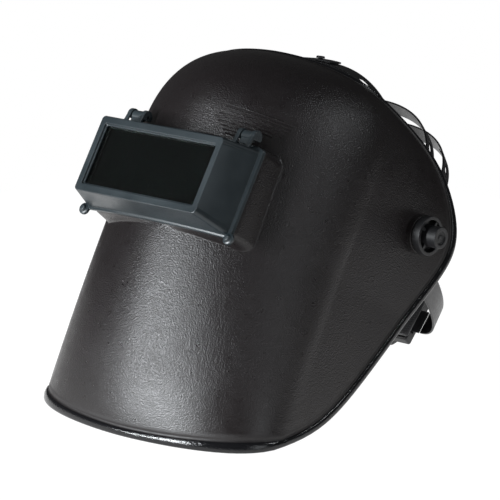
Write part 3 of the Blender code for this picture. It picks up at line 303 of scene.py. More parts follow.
def cloth(name, color):
    """Knitted cloth: crossed threads, fuzz, sheen."""
    shader = Shader(name, color, 0.85)
    warp, weft = (shader.node("ShaderNodeTexWave", bands_direction=way) for way in ("X", "Z"))
    for wave in (warp, weft):
        wave.inputs["Scale"].default_value = 210.0
        wave.inputs["Distortion"].default_value = 1.2
        shader.link(shader.place, wave.inputs["Vector"])
    weave = shader.maths("MULTIPLY", warp.outputs["Fac"], weft.outputs["Fac"])
    shader.tint(shader.spread(weave, 0.2, 0.9, 0.0, 0.6), tuple(c * 2.2 + 0.01 for c in color))
    shader.raise_by(weave, 0.6, 0.0004)
    shader.raise_by(shader.noise(400.0, 4.0), 0.3, 0.0003)
    shader.main.inputs["Sheen Weight"].default_value = 0.4
    return shader.material


MATERIALS = {
    "shell_plastic": shell_material(),
    "holder_plastic": moulded("holder_satin", (0.016, 0.023, 0.027), 0.34, 1100.0, 0.16, 0.45),
    "clear_plate": clear_plate(),
    "dark_filter": filter_glass(),
    "gasket_rubber": moulded("rubber", (0.010, 0.010, 0.010), 0.75, 700.0, 0.3, 0.1),
    "zinc_steel": steel(),
    "band_plastic": moulded("band_gloss", (0.008, 0.008, 0.009), 0.36, 500.0, 0.08, 0.30),
    "ratchet_plastic": moulded("ratchet_satin", (0.005, 0.005, 0.006), 0.42, 900.0, 0.20, 0.30),
    "washer_fibre": moulded("fibre", (0.010, 0.009, 0.009), 0.80, 1400.0, 0.4, 0.1),
    "foam_pad": cloth("pad_cloth", (0.020, 0.020, 0.022)),
}
SLOT_OF = {row["node"]: row["material_slot"] for row in frame["record"]["subparts"]}


def dress(piece, slot):
    piece.data.materials.clear()
    piece.data.materials.append(MATERIALS[slot])


for cad_name, cad_object in frame["nodes"].items():
    dress(cad_object, SLOT_OF[cad_name])


# ---- pieces --------------------------------------------------------------------------------
def piece(name, mesh, body, node=None, slot=None, matrix=None, bevel=0.0, sharp=32.0):
    """An object in the row frame that rides on a body and may stand for a CAD node."""
    if matrix is not None:
        mesh.transform(matrix)
    made = bpy.data.objects.new(name, mesh)
    bpy.context.scene.collection.objects.link(made)
    slot = slot or SLOT_OF[node]
    dress(made, slot)
    mesh.shade_smooth()
    if bevel:
        rounding = made.modifiers.new("rounding", "BEVEL")
        rounding.width = bevel
        rounding.segments = 3
        rounding.limit_method = "ANGLE"
        rounding.angle_limit = math.radians(sharp)
        rounding.use_clamp_overlap = False
        rounding.harden_normals = True
    else:
        mesh.set_sharp_from_angle(angle=math.radians(sharp))
    if node:
        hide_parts(node)
    if body:
        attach(made, body)
    return made


def finish_mesh(work, name):
    bmesh.ops.recalc_face_normals(work, faces=work.faces)
    mesh = bpy.data.meshes.new(name)
    work.to_mesh(mesh)
    work.free()
    return mesh


def joined(meshes):
    work = bmesh.new()
    for mesh in meshes:
        work.from_mesh(mesh)
    out = bpy.data.meshes.new("joined")
    work.to_mesh(out)
    work.free()
    return out


def ring_mesh(loops):
    work = bmesh.new()
    rings = [[work.verts.new(point) for point in loop] for loop in loops]
    count = len(rings[0])
    for first, second in zip(rings, rings[1:] + rings[:1]):
        for k in range(count):
            after = (k + 1) % count
            work.faces.new((first[k], first[after], second[after], second[k]))
    return finish_mesh(work, "ring")


def grid(rows, mirror=False):
    """A sheet through rows of points; the mirror half is joined on at x = 0."""
    rows = np.asarray(rows, float)
    if mirror:
        other = rows[:, -2::-1].copy()
        other[..., 0] *= -1.0
        rows = np.concatenate((rows, other), 1)
    high, wide = rows.shape[:2]
    mesh = bpy.data.meshes.new("grid")
    faces = [(r * wide + c, r * wide + c + 1, (r + 1) * wide + c + 1, (r + 1) * wide + c)
             for r in range(high - 1) for c in range(wide - 1)]
    mesh.from_pydata(rows.reshape(-1, 3).tolist(), [], faces)
    return mesh


def turned(profile, sides, axis="z"):
    """A closed profile of (radius, height) points turned about an axis."""
    work = bmesh.new()
    rings = []
    for radius, height in profile:
        if radius == 0.0:
            rings.append([work.verts.new((0.0, 0.0, height))] * sides)
            continue
        turns = [2.0 * math.pi * k / sides for k in range(sides)]
        rings.append([work.verts.new((radius * math.cos(a), radius * math.sin(a), height))
                      for a in turns])
    pairs = list(zip(rings, rings[1:]))
    if profile[0][0] and profile[-1][0]:
        pairs.append((rings[-1], rings[0]))
    for lower, upper in pairs:
        if lower[0] is lower[1] and upper[0] is upper[1]:
            continue
        for k in range(sides):
            corners = [lower[k], lower[(k + 1) % sides], upper[(k + 1) % sides], upper[k]]
            work.faces.new([c for i, c in enumerate(corners) if c not in corners[:i]])
    quarter = math.pi / 2.0
    lay = {"x": Matrix.Rotation(quarter, 4, "Y"), "-x": Matrix.Rotation(-quarter, 4, "Y"),
           "y": Matrix.Rotation(-quarter, 4, "X"), "z": Matrix.Identity(4)}
    bmesh.ops.transform(work, matrix=lay[axis], verts=work.verts)
    return finish_mesh(work, "turned")


def plate(points, low, high, axis):
    """A flat outline of (a, b) points between two levels of an axis."""
    order = {"x": lambda a, b, c: (c, a, b), "y": lambda a, b, c: (a, c, b),
             "z": lambda a, b, c: (a, b, c)}[axis]
    work = bmesh.new()
    face = work.faces.new([work.verts.new(order(a, b, low)) for a, b in points])
    moved = bmesh.ops.extrude_face_region(work, geom=[face])["geom"]
    bmesh.ops.translate(work, vec=Vector(order(0.0, 0.0, high - low)),
                        verts=[v for v in moved if isinstance(v, bmesh.types.BMVert)])
    return finish_mesh(work, "plate")


def block(low, high):
    low, high = Vector(low), Vector(high)
    work = bmesh.new()
    bmesh.ops.create_cube(work, size=1.0)
    bmesh.ops.transform(work, matrix=Matrix.Diagonal((*(high - low), 1.0)), verts=work.verts)
    bmesh.ops.translate(work, vec=(low + high) / 2.0, verts=work.verts)
    return finish_mesh(work, "block")


def arc(centre, radius, first, last, count):
    turns = [math.radians(first + (last - first) * k / count) for k in range(count + 1)]
    return [(centre[0] + radius * math.cos(a), centre[1] + radius * math.sin(a)) for a in turns]


def refined(node, bevel=0.0004, sharp=35.0):
    """A CAD node's shape with its edges rounded off."""
    source = frame["nodes"][node]
    work = bmesh.new()
    work.from_mesh(source.data)
    bmesh.ops.remove_doubles(work, verts=work.verts, dist=1e-6)
    bmesh.ops.dissolve_limit(work, angle_limit=math.radians(0.6), verts=work.verts, edges=work.edges)
    return piece(f"{node}_fine", finish_mesh(work, node), source["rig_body"], node, bevel=bevel,
                 sharp=sharp)


# ---- the shell -------------------------------------------------------------------------------
def round_off(part_way, power):
    return np.power(np.clip(1.0 - np.power(np.clip(part_way, 0.0, 1.0), power), 0.0, 1.0),
                    1.0 / power)


def reach(z):
    """How far forward of its centre the shell stands at a level."""
    upper = round_off((z - REACH_Z) / (CROWN_Z - REACH_Z), 2.0)
    lower = round_off((REACH_Z - z) / (REACH_Z - CHIN_Z), CHIN_POWER)
    return np.maximum(FRONT_REACH * np.where(z > REACH_Z, upper, lower), 1e-6)


def half_width(z):
    upper = HALF_WIDTH * round_off((z - WIDEST_Z) / (CROWN_Z - WIDEST_Z), WIDTH_POWER)
    down = np.clip((WIDEST_Z - z) / (WIDEST_Z + CHIN_LEVEL), 0.0, 2.0)
    lower = HALF_WIDTH + (HALF_WIDTH_CHIN - HALF_WIDTH) * down
    return np.maximum(np.where(z > WIDEST_Z, upper, lower), 1e-6)


def outside_shell(points):
    """Below 0 inside the shell's outer surface, above 0 outside it."""
    x, y, z = points[..., 0], points[..., 1], points[..., 2]
    width = half_width(z) * (1.0 + FLARE * np.maximum(y - CENTRE_BACK, 0.0))
    forward = np.maximum(CENTRE_BACK - y, 0.0) / reach(z)
    level = np.power(np.abs(x) / width, SECTION_POWER) + np.power(forward, SECTION_POWER) - 1.0
    return np.where(z > CROWN_Z, 1.0, level)


def shell_y(x, z):
    across = round_off(np.abs(x) / half_width(z), SECTION_POWER)
    return CENTRE_BACK - reach(z) * across


def seat_y(x, z):
    """The flatter pad that carries the lens holder."""
    middle = shell_y(np.zeros_like(x), z)
    return middle + (SEAT_SIDE - middle) * (x / SEAT_X) ** 2


def off_seat(x, z, distance):
    step = 0.0005
    slope_x = (seat_y(x + step, z) - seat_y(x - step, z)) / (2.0 * step)
    slope_z = (seat_y(x, z + step) - seat_y(x, z - step)) / (2.0 * step)
    return seat_y(x, z) - distance * np.sqrt(1.0 + slope_x ** 2 + slope_z ** 2)


def to_helmet(points):
    x, y, z = points[..., 0], points[..., 1], points[..., 2]
    back_y, back_z = math.cos(LENS_TILT), -math.sin(LENS_TILT)
    return np.stack((x, LENS_Y + y * back_y - z * back_z, LENS_Z + y * back_z + z * back_y), -1)


def past_rim(points):
    """Above 0 past the rim, whose side view is three straight lines with round corners."""
    y, z = points[..., 1], points[..., 2]
    sides = [RIM_ROLL_FLOOR - z]
    for rim_y, rim_z, direction in RIM_LINES:
        turn = math.radians(direction)
        sides.append((y - rim_y) * math.sin(turn) - (z - rim_z) * math.cos(turn))
    sides = np.stack(sides)
    most = sides.max(0)
    return most + RIM_ROUND * np.log(np.exp((sides - most) / RIM_ROUND).sum(0))


def cast(directions):
    """Where rays from the core meet the shell's outer surface."""
    core = np.array(CORE)
    near, far = np.zeros(directions.shape[:-1]), np.full(directions.shape[:-1], 0.4)
    for _ in range(36):
        middle = (near + far) / 2.0
        inside = outside_shell(core + directions * middle[..., None]) < 0.0
        near, far = np.where(inside, middle, near), np.where(inside, far, middle)
    return core + directions * near[..., None]


def unit(vectors):
    return vectors / np.linalg.norm(vectors, axis=-1, keepdims=True)


def rim_directions(columns):
    """Rays from the core to the rim, from the chin round to the crown."""
    ahead = unit(np.array((0.0, shell_y(0.0, 0.0), 0.0)) - np.array(CORE))
    down = np.array((0.0, ahead[2], -ahead[1]))
    down = -down if down[2] > 0.0 else down
    turn = np.linspace(0.0, math.pi, columns)
    aside = np.cos(turn)[:, None] * down + np.sin(turn)[:, None] * np.array((1.0, 0.0, 0.0))
    near, far = np.full(columns, 0.2), np.full(columns, 2.9)
    for _ in range(36):
        middle = (near + far) / 2.0
        rays = np.cos(middle)[:, None] * ahead + np.sin(middle)[:, None] * aside
        inside = past_rim(to_helmet(cast(rays))) < 0.0
        near, far = np.where(inside, middle, near), np.where(inside, far, middle)
    return unit(np.cos(near)[:, None] * ahead + np.sin(near)[:, None] * aside)


def between(first, last, share):
    angle = np.arccos(np.clip((first * last).sum(-1), -1.0, 1.0))[:, None]
    return (np.sin((1.0 - share) * angle) * first + np.sin(share * angle) * last) / np.sin(angle)


def facing(points):
    """The outward direction of the shell's surface."""
    step = 0.0002
    slopes = []
    for axis in np.eye(3):
        slopes.append(outside_shell(points + step * axis) - outside_shell(points - step * axis))
    return unit(np.stack(slopes, -1))


def frame_outline(half_x, bottom, top, radius):
    """A rectangle with round corners, from the middle of its bottom edge."""
    def line(start, end, count):
        return [(start[0] + (end[0] - start[0]) * k / count,
                 start[1] + (end[1] - start[1]) * k / count) for k in range(count)]

    def corner(x, z, first):
        return arc((x, z), radius, first, first + 90.0, CORNER_SEGS)[:-1]

    in_x, low, high, half = half_x - radius, bottom + radius, top - radius, LONG_SEGS // 2
    points = line((0.0, bottom), (in_x, bottom), half) + corner(in_x, low, -90.0)
    points += line((half_x, low), (half_x, high), SHORT_SEGS) + corner(in_x, high, 0.0)
    points += line((in_x, top), (-in_x, top), LONG_SEGS) + corner(-in_x, high, 90.0)
    points += line((-half_x, high), (-half_x, low), SHORT_SEGS) + corner(-in_x, low, 180.0)
    points += line((-in_x, bottom), (0.0, bottom), half)
    return np.array(points)


def loop_at(outline, depth):
    points = frame_outline(*outline)
    return np.stack((points[:, 0], np.broadcast_to(depth, len(points)), points[:, 1]), -1)


def loop_off_seat(outline, distance):
    points = frame_outline(*outline)
    return loop_at(outline, off_seat(points[:, 0], points[:, 1], distance))


def mixed(first, last, share):
    return tuple(a + (b - a) * share for a, b in zip(first, last))


def smooth_step(share):
    return share * share * (3.0 - 2.0 * share)


def bead_lift(distance):
    """How far the rolled edge stands out at a distance from the rim."""
    part_way = np.clip((distance - BEAD_WIDTH / 2.0) / (BEAD_WIDTH / 2.0), -1.0, 1.0)
    roll = BEAD_HEIGHT * np.sqrt(1.0 - part_way ** 2)
    groove = np.exp(-((distance - BEAD_WIDTH - GROOVE_OUT) / GROOVE_HALF) ** 2)
    return roll - GROOVE_DEPTH * groove


def shell_rows():
    """Rows of points from the opening out to the rim, and the zone that each row is in."""
    rows, zones = [], []
    for k in range(SEAT_ROWS):
        rows.append(loop_off_seat(mixed(APERTURE, FLANGE, k / SEAT_ROWS), 0.0)[:HALF_RING])
        zones.append(ZONE_BORDER)
    for k in range(WALL_ROWS + 1):
        share = k / WALL_ROWS
        outline = frame_outline(*mixed(FLANGE, SEAT_FOOT, share))
        x, z = outline[:, 0], outline[:, 1]
        top, foot = seat_y(x, z), shell_y(x, z)
        depth = top + (foot - top) * smooth_step(share)
        rows.append(np.stack((x, depth, z), -1)[:HALF_RING])
        zones.append(ZONE_PAD * (1.0 - share))
    start, end = unit(rows[-1] - np.array(CORE)), rim_directions(HALF_RING)
    sweep = np.arccos((start * end).sum(-1)) * np.linalg.norm(cast(end) - np.array(CORE), axis=-1)
    bead_from = BEAD_WIDTH + 0.0030
    for k in range(1, FACE_ROWS):
        share = k / FACE_ROWS
        last = 1.0 - bead_from / sweep
        rows.append(cast(between(start, end, (share * last)[:, None])))
        distance = (1.0 - share * last).mean() * sweep.mean()
        near_rim = np.clip((BORDER + BORDER_FADE - distance) / BORDER_FADE, 0.0, 1.0)
        zones.append(ZONE_BORDER * float(near_rim))
    for k in range(BEAD_ROWS + 1):
        distance = bead_from * (1.0 - k / BEAD_ROWS)
        share = (1.0 - distance / sweep)[:, None]
        points = cast(between(start, end, share))
        rows.append(points + float(bead_lift(distance)) * facing(points))
        zones.append(ZONE_BEAD if distance < BEAD_WIDTH else ZONE_GROOVE)
    rows = to_helmet(np.array(rows))
    rows[..., 2] = np.maximum(rows[..., 2], 0.0)
    rows[:, 0, 0] = rows[:, -1, 0] = 0.0
    return rows, zones


def make_shell():
    rows, zones = shell_rows()
    mesh = grid(rows, mirror=True)
    wide = 2 * HALF_RING - 1
    zone = mesh.attributes.new("zone", "FLOAT", "POINT")
    zone.data.foreach_set("value", np.repeat(np.array(zones), wide))
    work = bmesh.new()
    work.from_mesh(mesh)
    bmesh.ops.remove_doubles(work, verts=work.verts, dist=1e-5)
    bmesh.ops.recalc_face_normals(work, faces=work.faces)
    outward = max(work.faces, key=lambda f: f.calc_center_median().z).normal.z
    if outward < 0.0:
        bmesh.ops.reverse_faces(work, faces=work.faces)
    work.to_mesh(mesh)
    work.free()
    skin = piece("shell_skin", mesh, "shell", "shell", matrix=HELMET, sharp=50.0)
    wall = skin.modifiers.new("wall", "SOLIDIFY")
    wall.thickness = WALL
    wall.offset = -1.0
    wall.use_even_offset = False


def surface_ridge(points, half, height):
    """A slim rounded ridge along points on the shell's face, given in the lens frame."""
    points = np.array(points)
    out = facing(points)
    along = unit(np.gradient(points, axis=0))
    across = unit(np.cross(along, out))
    loops = []
    for turn in np.linspace(0.0, 2.0 * math.pi, LINE_SIDES + 1)[:-1]:
        loops.append(points + across * half * math.cos(turn) + out * height * math.sin(turn))
    rings = np.stack(loops, 1)
    work = bmesh.new()
    verts = [[work.verts.new(p) for p in ring] for ring in rings]
    for first, second in zip(verts, verts[1:]):
        for k in range(LINE_SIDES):
            after = (k + 1) % LINE_SIDES
            work.faces.new((first[k], first[after], second[after], second[k]))
    work.faces.new(verts[0])
    work.faces.new(verts[-1])
    return finish_mesh(work, "ridge")


def make_brow_lines():
    """Fine raised lines above the lens holder on the wearer's left, the lower ones shorter."""
    meshes = []
    for k in range(LINE_COUNT):
        reach_x = LINE_SHORT + LINE_GROWTH * min(1.0, k / 4.0)
        x = LINE_X + LINE_LEAN * k + np.linspace(-reach_x, reach_x, 30)
        z = np.full_like(x, LINE_LOW + LINE_GAP * k)
        meshes.append(surface_ridge(np.stack((x, shell_y(x, z), z), -1), LINE_HALF, LINE_RISE))
    piece("brow_lines", joined(meshes), "shell", slot="shell_plastic", matrix=LENS, sharp=60.0)


def make_bosses():
    for side, sign in SIDES:
        profile = ((STUD_R + 0.0005, BOSS_IN), (BOSS_R, BOSS_IN), (BOSS_R, BOSS_OUT),
                   (STUD_R + 0.0005, BOSS_OUT))
        piece(f"pivot_boss_{side}", turned(profile, 72, "x" if sign > 0 else "-x"), "shell",
              slot="shell_plastic", matrix=HELMET @ Matrix.Translation((0.0, PIVOT_Y, PIVOT_Z)),
              bevel=0.0006)


# ---- lens holder -----------------------------------------------------------------------------
def box_loop(depth, inset=0.0, lip=0.0, radius=0.0030):
    """The flaring box's section at a depth, moved in by a wall or out by a lip."""
    depths = np.broadcast_to(depth, len(frame_outline(*APERTURE)))
    side, bottom, top = BOX_FLARE
    low = frame_outline(BOX_X - inset + lip, -BOX_Z + inset - lip, BOX_Z - inset + lip, radius)
    unit_depth = 0.01
    high = frame_outline(BOX_X + side * unit_depth - inset + lip,
                         -BOX_Z - bottom * unit_depth + inset - lip,
                         BOX_Z + top * unit_depth - inset + lip, radius)
    points = low + (high - low) * (depths / unit_depth)[:, None]
    return np.stack((points[:, 0], depths, points[:, 1]), -1)


def box_rear_depth(inset=0.0, lip=0.0):
    """Depths at which the box's walls end, just clear of the fixed frame."""
    depths = np.full(len(frame_outline(*APERTURE)), 0.030)
    for _ in range(8):
        loop = box_loop(depths, inset, lip)
        depths = off_seat(loop[:, 0], loop[:, 2], FLANGE_OUT + 0.0007)
    return depths


def make_flip_case():
    """The flaring box with a stepped bezel, hinge ears and round corner bumps."""
    rear_lip, rear = box_rear_depth(0.0, LIP), box_rear_depth()
    rear_in = box_rear_depth(BOX_WALL)
    step_y, bezel_y, pocket_y, foot_z = 0.0015, 0.0030, 0.0117, 0.0312
    window = (PLATE_X - 0.0020, -PLATE_Z + 0.0030, PLATE_Z - 0.0030, 0.0012)
    rim = (window[0] + 0.0012, window[1] - 0.0012, window[2] + 0.0012, 0.0015)
    meshes = [ring_mesh([
        loop_at(rim, 0.0), box_loop(0.0, 0.0002), box_loop(0.0004),
        box_loop(rear - 0.0030), box_loop(rear_lip - 0.0024, 0.0, LIP),
        box_loop(rear_lip, 0.0, LIP), box_loop(rear_in, BOX_WALL),
        box_loop(pocket_y, BOX_WALL), loop_at(POCKET, pocket_y), loop_at(POCKET, bezel_y),
        loop_at(window, bezel_y), loop_at(window, step_y), loop_at(rim, step_y)])]
    ear = arc((HINGE_Y, HINGE_Z), EAR_R, -20.0, 190.0, 28)
    ear += [(HINGE_Y - 0.0062, HINGE_Z - 0.0070), (HINGE_Y - 0.0060, foot_z),
            (HINGE_Y - 0.0038, foot_z), (HINGE_Y - 0.0038, HINGE_Z - 0.0034)]
    bump = turned(((0.0, 0.0), (0.0044, 0.0), (0.0044, 0.0022), (0.0026, 0.0030),
                   (0.0020, 0.0044), (0.0, 0.0048)), 40)
    for sign in (1.0, -1.0):
        for inner in (HINGE_X - KNUCKLE_W / 2 - 0.0004 - EAR_T, HINGE_X + KNUCKLE_W / 2 + 0.0004):
            low, high = sorted((sign * inner, sign * (inner + EAR_T)))
            meshes.append(plate(ear, low, high, "x"))
        placed = bump.copy()
        placed.transform(Matrix.Translation((sign * BUMP_X, BUMP_Y, BUMP_Z))
                         @ Matrix.Rotation(math.pi / 2.0, 4, "X"))
        meshes.append(placed)
    piece("flip_case", joined(meshes), "flip_front", "flip_box", matrix=LENS, bevel=0.0005, sharp=22.0)


def make_lens_frame():
    """The fixed frame between the box and the shell, with its hinge knuckles."""
    ledge_y, tongue_end = COLLAR_Y + 0.0020, -WALL - 0.0012
    meshes = [ring_mesh([
        loop_off_seat(FLANGE, FLANGE_IN), loop_off_seat(FLANGE, FLANGE_OUT),
        loop_off_seat(COLLAR, FLANGE_OUT), loop_at(COLLAR, COLLAR_Y),
        loop_at(LIP_HOLE, COLLAR_Y), loop_at(LIP_HOLE, ledge_y),
        loop_at(POCKET, ledge_y), loop_off_seat(POCKET, tongue_end),
        loop_off_seat(TONGUE, tongue_end), loop_off_seat(TONGUE, FLANGE_IN)])]
    for sign in (1.0, -1.0):
        knuckle = turned(((0.0, -KNUCKLE_W / 2), (KNUCKLE_R, -KNUCKLE_W / 2),
                          (KNUCKLE_R, KNUCKLE_W / 2), (0.0, KNUCKLE_W / 2)), 36, "x")
        knuckle.transform(Matrix.Translation((sign * HINGE_X, HINGE_Y, HINGE_Z)))
        foot_x = KNUCKLE_W / 2 - 0.0001
        foot = block((-foot_x, -0.0032, -0.0068), (foot_x, 0.0001, 0.0))
        foot.transform(Matrix.Translation((sign * HINGE_X, HINGE_Y, HINGE_Z)))
        meshes += [knuckle, foot]
    piece("lens_frame", joined(meshes), "shell", "base_frame", matrix=LENS, bevel=0.0004, sharp=28.0)


# ---- tension knobs ---------------------------------------------------------------------------
def make_tension_knob(side, sign):
    bore, ring_in, floor_x = STUD_R + 0.0004, KNOB_R - 0.0026, KNOB_X0 + 0.0020
    dish_r, dish_x = 0.0052, KNOB_HUB_X - 0.0013
    profile = ((bore, KNOB_X0), (KNOB_R, KNOB_X0), (KNOB_R, KNOB_X1), (ring_in, KNOB_X1),
               (ring_in, floor_x), (KNOB_HUB_R, floor_x), (KNOB_HUB_R, KNOB_HUB_X),
               (dish_r, KNOB_HUB_X), (dish_r - 0.0006, dish_x), (0.0022, dish_x),
               (0.0018, dish_x + 0.0006), (0.0, dish_x + 0.0006), (0.0, KNOB_HUB_X - 0.0028),
               (bore, KNOB_HUB_X - 0.0028))
    meshes = [turned(profile, 96, "x" if sign > 0 else "-x")]
    for k in range(4):
        low, high = sorted((sign * (floor_x - 0.0003), sign * (KNOB_X1 - 0.0008)))
        spoke = block((low, KNOB_HUB_R - 0.0006, -0.0011), (high, ring_in + 0.0008, 0.0011))
        spoke.transform(Matrix.Rotation(math.radians(45.0 + 90.0 * k), 4, "X"))
        meshes.append(spoke)
    piece(f"side_knob_{side}", joined(meshes), f"tension_knob_{side}", f"tension_knob_{side}",
          matrix=HELMET @ Matrix.Translation((0.0, PIVOT_Y, PIVOT_Z)), bevel=0.0005)


# ---- headgear ----------------------------------------------------------------------------------
def head_point(turn):
    """A point on the oval round the wearer's head."""
    power = 2.0 / HEAD_POWER
    across, forward = math.cos(turn), math.sin(turn)
    return (math.copysign(HEAD_X * abs(across) ** power, across),
            -math.copysign(HEAD_FRONT * abs(forward) ** power, forward))


def band_rows(offset, height, turns, rows_up=2):
    rows = []
    for turn in turns:
        x, y = head_point(turn)
        nx, ny = x / HEAD_X ** 2, y / HEAD_FRONT ** 2
        size = math.hypot(nx, ny)
        x, y = x + offset * nx / size, y + offset * ny / size
        middle = FRONT_BAND_Z + FRONT_BAND_RISE * max(0.0, -y / HEAD_FRONT)
        rows.append([(x, y, middle + height * (k / (rows_up - 1) - 0.5)) for k in range(rows_up)])
    return rows


def flat_band(name, rows, thickness, body, node, tools=(), matrix=HEAD, bevel=0.0004):
    """A strap through rows of points, with its thickness, its holes and rounded edges."""
    band = piece(name, grid(rows), None, node, matrix=matrix, sharp=40.0)
    wall = band.modifiers.new("wall", "SOLIDIFY")
    wall.thickness = thickness
    wall.offset = 0.0
    if tools:
        cutter = bpy.data.objects.new("slots", joined(tools))
        cutter.data.transform(matrix)
        bpy.context.scene.collection.objects.link(cutter)
        cut = band.modifiers.new("slots", "BOOLEAN")
        cut.operation, cut.object, cut.solver = "DIFFERENCE", cutter, "EXACT"
    apply_modifiers(band)
    if tools:
        bpy.data.objects.remove(cutter)
    rounding = band.modifiers.new("rounding", "BEVEL")
    rounding.width, rounding.segments = bevel, 2
    rounding.limit_method, rounding.angle_limit = "ANGLE", math.radians(50.0)
    rounding.use_clamp_overlap = False
    rounding.harden_normals = True
    band.data.shade_smooth()
    if body:
        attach(band, body)
    return band


def apply_modifiers(thing):
    depsgraph = bpy.context.evaluated_depsgraph_get()
    mesh = bpy.data.meshes.new_from_object(thing.evaluated_get(depsgraph))
    thing.modifiers.clear()
    thing.data = mesh


def strap_width(lean):
    return Vector((0.0, math.cos(lean), -math.sin(lean)))


def strap_point(turn, size):
    """The middle line of a strap over the head, straight below its ends."""
    half_x, top, lean, shift = size
    if turn < 0.0:
        x, up = half_x, STRAP_BASE_Z + half_x * turn
    else:
        x = half_x * math.copysign(abs(math.cos(turn)) ** STRAP_POWER, math.cos(turn))
        up = STRAP_BASE_Z + (top - STRAP_BASE_Z) * math.sin(turn) ** STRAP_POWER
    return Vector((x, up * math.sin(lean), up * math.cos(lean))) + strap_width(lean) * shift


def slot_tools(size, turns, sign=1.0):
    """Cutters for a strap's adjustment slots, at angles in degrees."""
    length, half = 0.0080, 0.0024
    ends = arc((length / 2, 0.0), half, -90.0, 90.0, 10)
    ends += arc((-length / 2, 0.0), half, 90.0, 270.0, 10)
    width = strap_width(size[2])
    tools = []
    for degrees in turns:
        here = strap_point(math.radians(degrees), size)
        along = strap_point(math.radians(degrees) + 0.02, size) - here
        here.x, along.x = sign * here.x, sign * along.x
        along.normalize()
        place = Matrix((along, width, along.cross(width))).transposed().to_4x4()
        place.translation = here
        mesh = plate(ends, -0.0060, 0.0060, "z")
        mesh.transform(place)
        tools.append(mesh)
    return tools


def path_rows(path, spread, columns=5):
    """Rows across a strap: its middle line widened both ways."""
    return [[tuple(p + spread * (k / (columns - 1) - 0.5)) for k in range(columns)] for p in path]


def make_straps():
    steps = 72
    _, _, lean, _ = CROWN_STRAP
    up = Vector((0.0, math.sin(lean), math.cos(lean)))
    for side, sign in SIDES:
        lift = 0.0 if sign > 0 else LAP_RISE
        path = [strap_point(math.radians(-12.0 + 6.0 * k), CROWN_STRAP) for k in range(2)]
        for k in range(steps + 1):
            share = k / steps
            turn = math.radians(98.0 * share)
            path.append(strap_point(turn, CROWN_STRAP) + up * lift * min(1.0, 1.4 * share))
        path = [Vector((sign * p.x, p.y, p.z)) for p in path]
        flat_band(f"crown_band_{side}", path_rows(path, STRAP_W * strap_width(lean)), STRAP_T,
                  "headgear", f"crown_strap_{side}",
                  slot_tools(CROWN_STRAP, (24.0, 36.0, 48.0, 60.0), sign))
    for name, size in (("mid_strap", MID_STRAP), ("rear_strap", REAR_STRAP)):
        path = [strap_point(math.radians(-16.0 + 8.0 * k), size) for k in range(2)]
        path += [strap_point(math.radians(180.0 * k / 120), size) for k in range(121)]
        path += [Vector((-p.x, p.y, p.z)) for p in path[1::-1]]
        flat_band(f"{name}_band", path_rows(path, STRAP_W * strap_width(size[2])), STRAP_T,
                  "headgear", name, slot_tools(size, (24.0, 38.0, 52.0, 128.0, 142.0, 156.0)))


def make_front_band():
    turns = [math.radians(-12.0 + 204.0 * k / 120) for k in range(121)]
    flat_band("brow_band", band_rows(0.0, FRONT_BAND_H, turns, 5), BAND_T, "headgear", "front_band")


def make_rear_band(side, sign):
    """The band to the nape, which on the helmet is flexible and slides in with its rack; here it is
    one still shape.
    """
    points = [Vector(p) for p in ((HEAD_X + 0.0035, 0.0110), (0.0860, 0.0850),
                                  (0.0640, NAPE_BAND_Y), (RACK_OUT + 0.0005, NAPE_BAND_Y))]
    rows, steps = [], 60
    for k in range(steps + 1):
        t = k / steps
        plan = (points[0] * (1 - t) ** 3 + points[1] * 3 * t * (1 - t) ** 2
                + points[2] * 3 * t * t * (1 - t) + points[3] * t ** 3)
        fall = (plan.y - points[0].y) / (points[3].y - points[0].y)
        middle = Vector((sign * plan.x, plan.y, -0.0020 + (NAPE_BAND_Z + 0.0020) * fall))
        half, tilt = 0.0115 + (RACK_Z - 0.0004 - 0.0115) * t, NAPE_TILT * t
        spread = Vector((0.0, half * math.sin(tilt), half * math.cos(tilt)))
        rows.append([tuple(middle + spread * (j / 2.0 - 1.0)) for j in range(5)])
    band = flat_band(f"nape_band_{side}", rows, BAND_T, None, f"rear_band_{side}")
    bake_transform(band)


# ---- soft pads -------------------------------------------------------------------------------
PAD_VOXEL, PAD_PRESSURE, PAD_STEPS = 0.0030, 4.0, 20
SWEAT_T = 0.0048


def swell(pad, voxel, pressure, most):
    """Blow the pad up as cloth, no point moving further than a limit, then smooth it."""
    remesh = pad.modifiers.new("remesh", "REMESH")
    remesh.mode, remesh.voxel_size = "VOXEL", voxel
    apply_modifiers(pad)
    before = np.zeros(len(pad.data.vertices) * 3)
    pad.data.vertices.foreach_get("co", before)
    before = before.reshape(-1, 3)
    sheet = pad.modifiers.new("cloth", "CLOTH")
    sheet.settings.use_pressure = True
    sheet.settings.uniform_pressure_force = pressure
    sheet.settings.effector_weights.gravity = 0.0
    sheet.settings.quality = 5
    sheet.point_cache.frame_start, sheet.point_cache.frame_end = 1, PAD_STEPS
    for step in range(1, PAD_STEPS + 1):
        bpy.context.scene.frame_set(step)
    apply_modifiers(pad)
    after = np.zeros(before.size)
    pad.data.vertices.foreach_get("co", after)
    moved = after.reshape(-1, 3) - before
    size = np.linalg.norm(moved, axis=1, keepdims=True)
    moved *= np.minimum(1.0, most / np.maximum(size, 1e-9))
    pad.data.vertices.foreach_set("co", (before + moved).ravel())
    bpy.context.scene.frame_set(1)
    smoother = pad.modifiers.new("smooth", "SMOOTH")
    smoother.factor, smoother.iterations = 0.6, 4
    finer = pad.modifiers.new("finer", "SUBSURF")
    finer.levels = finer.render_levels = 1
    apply_modifiers(pad)
    pad.data.shade_smooth()


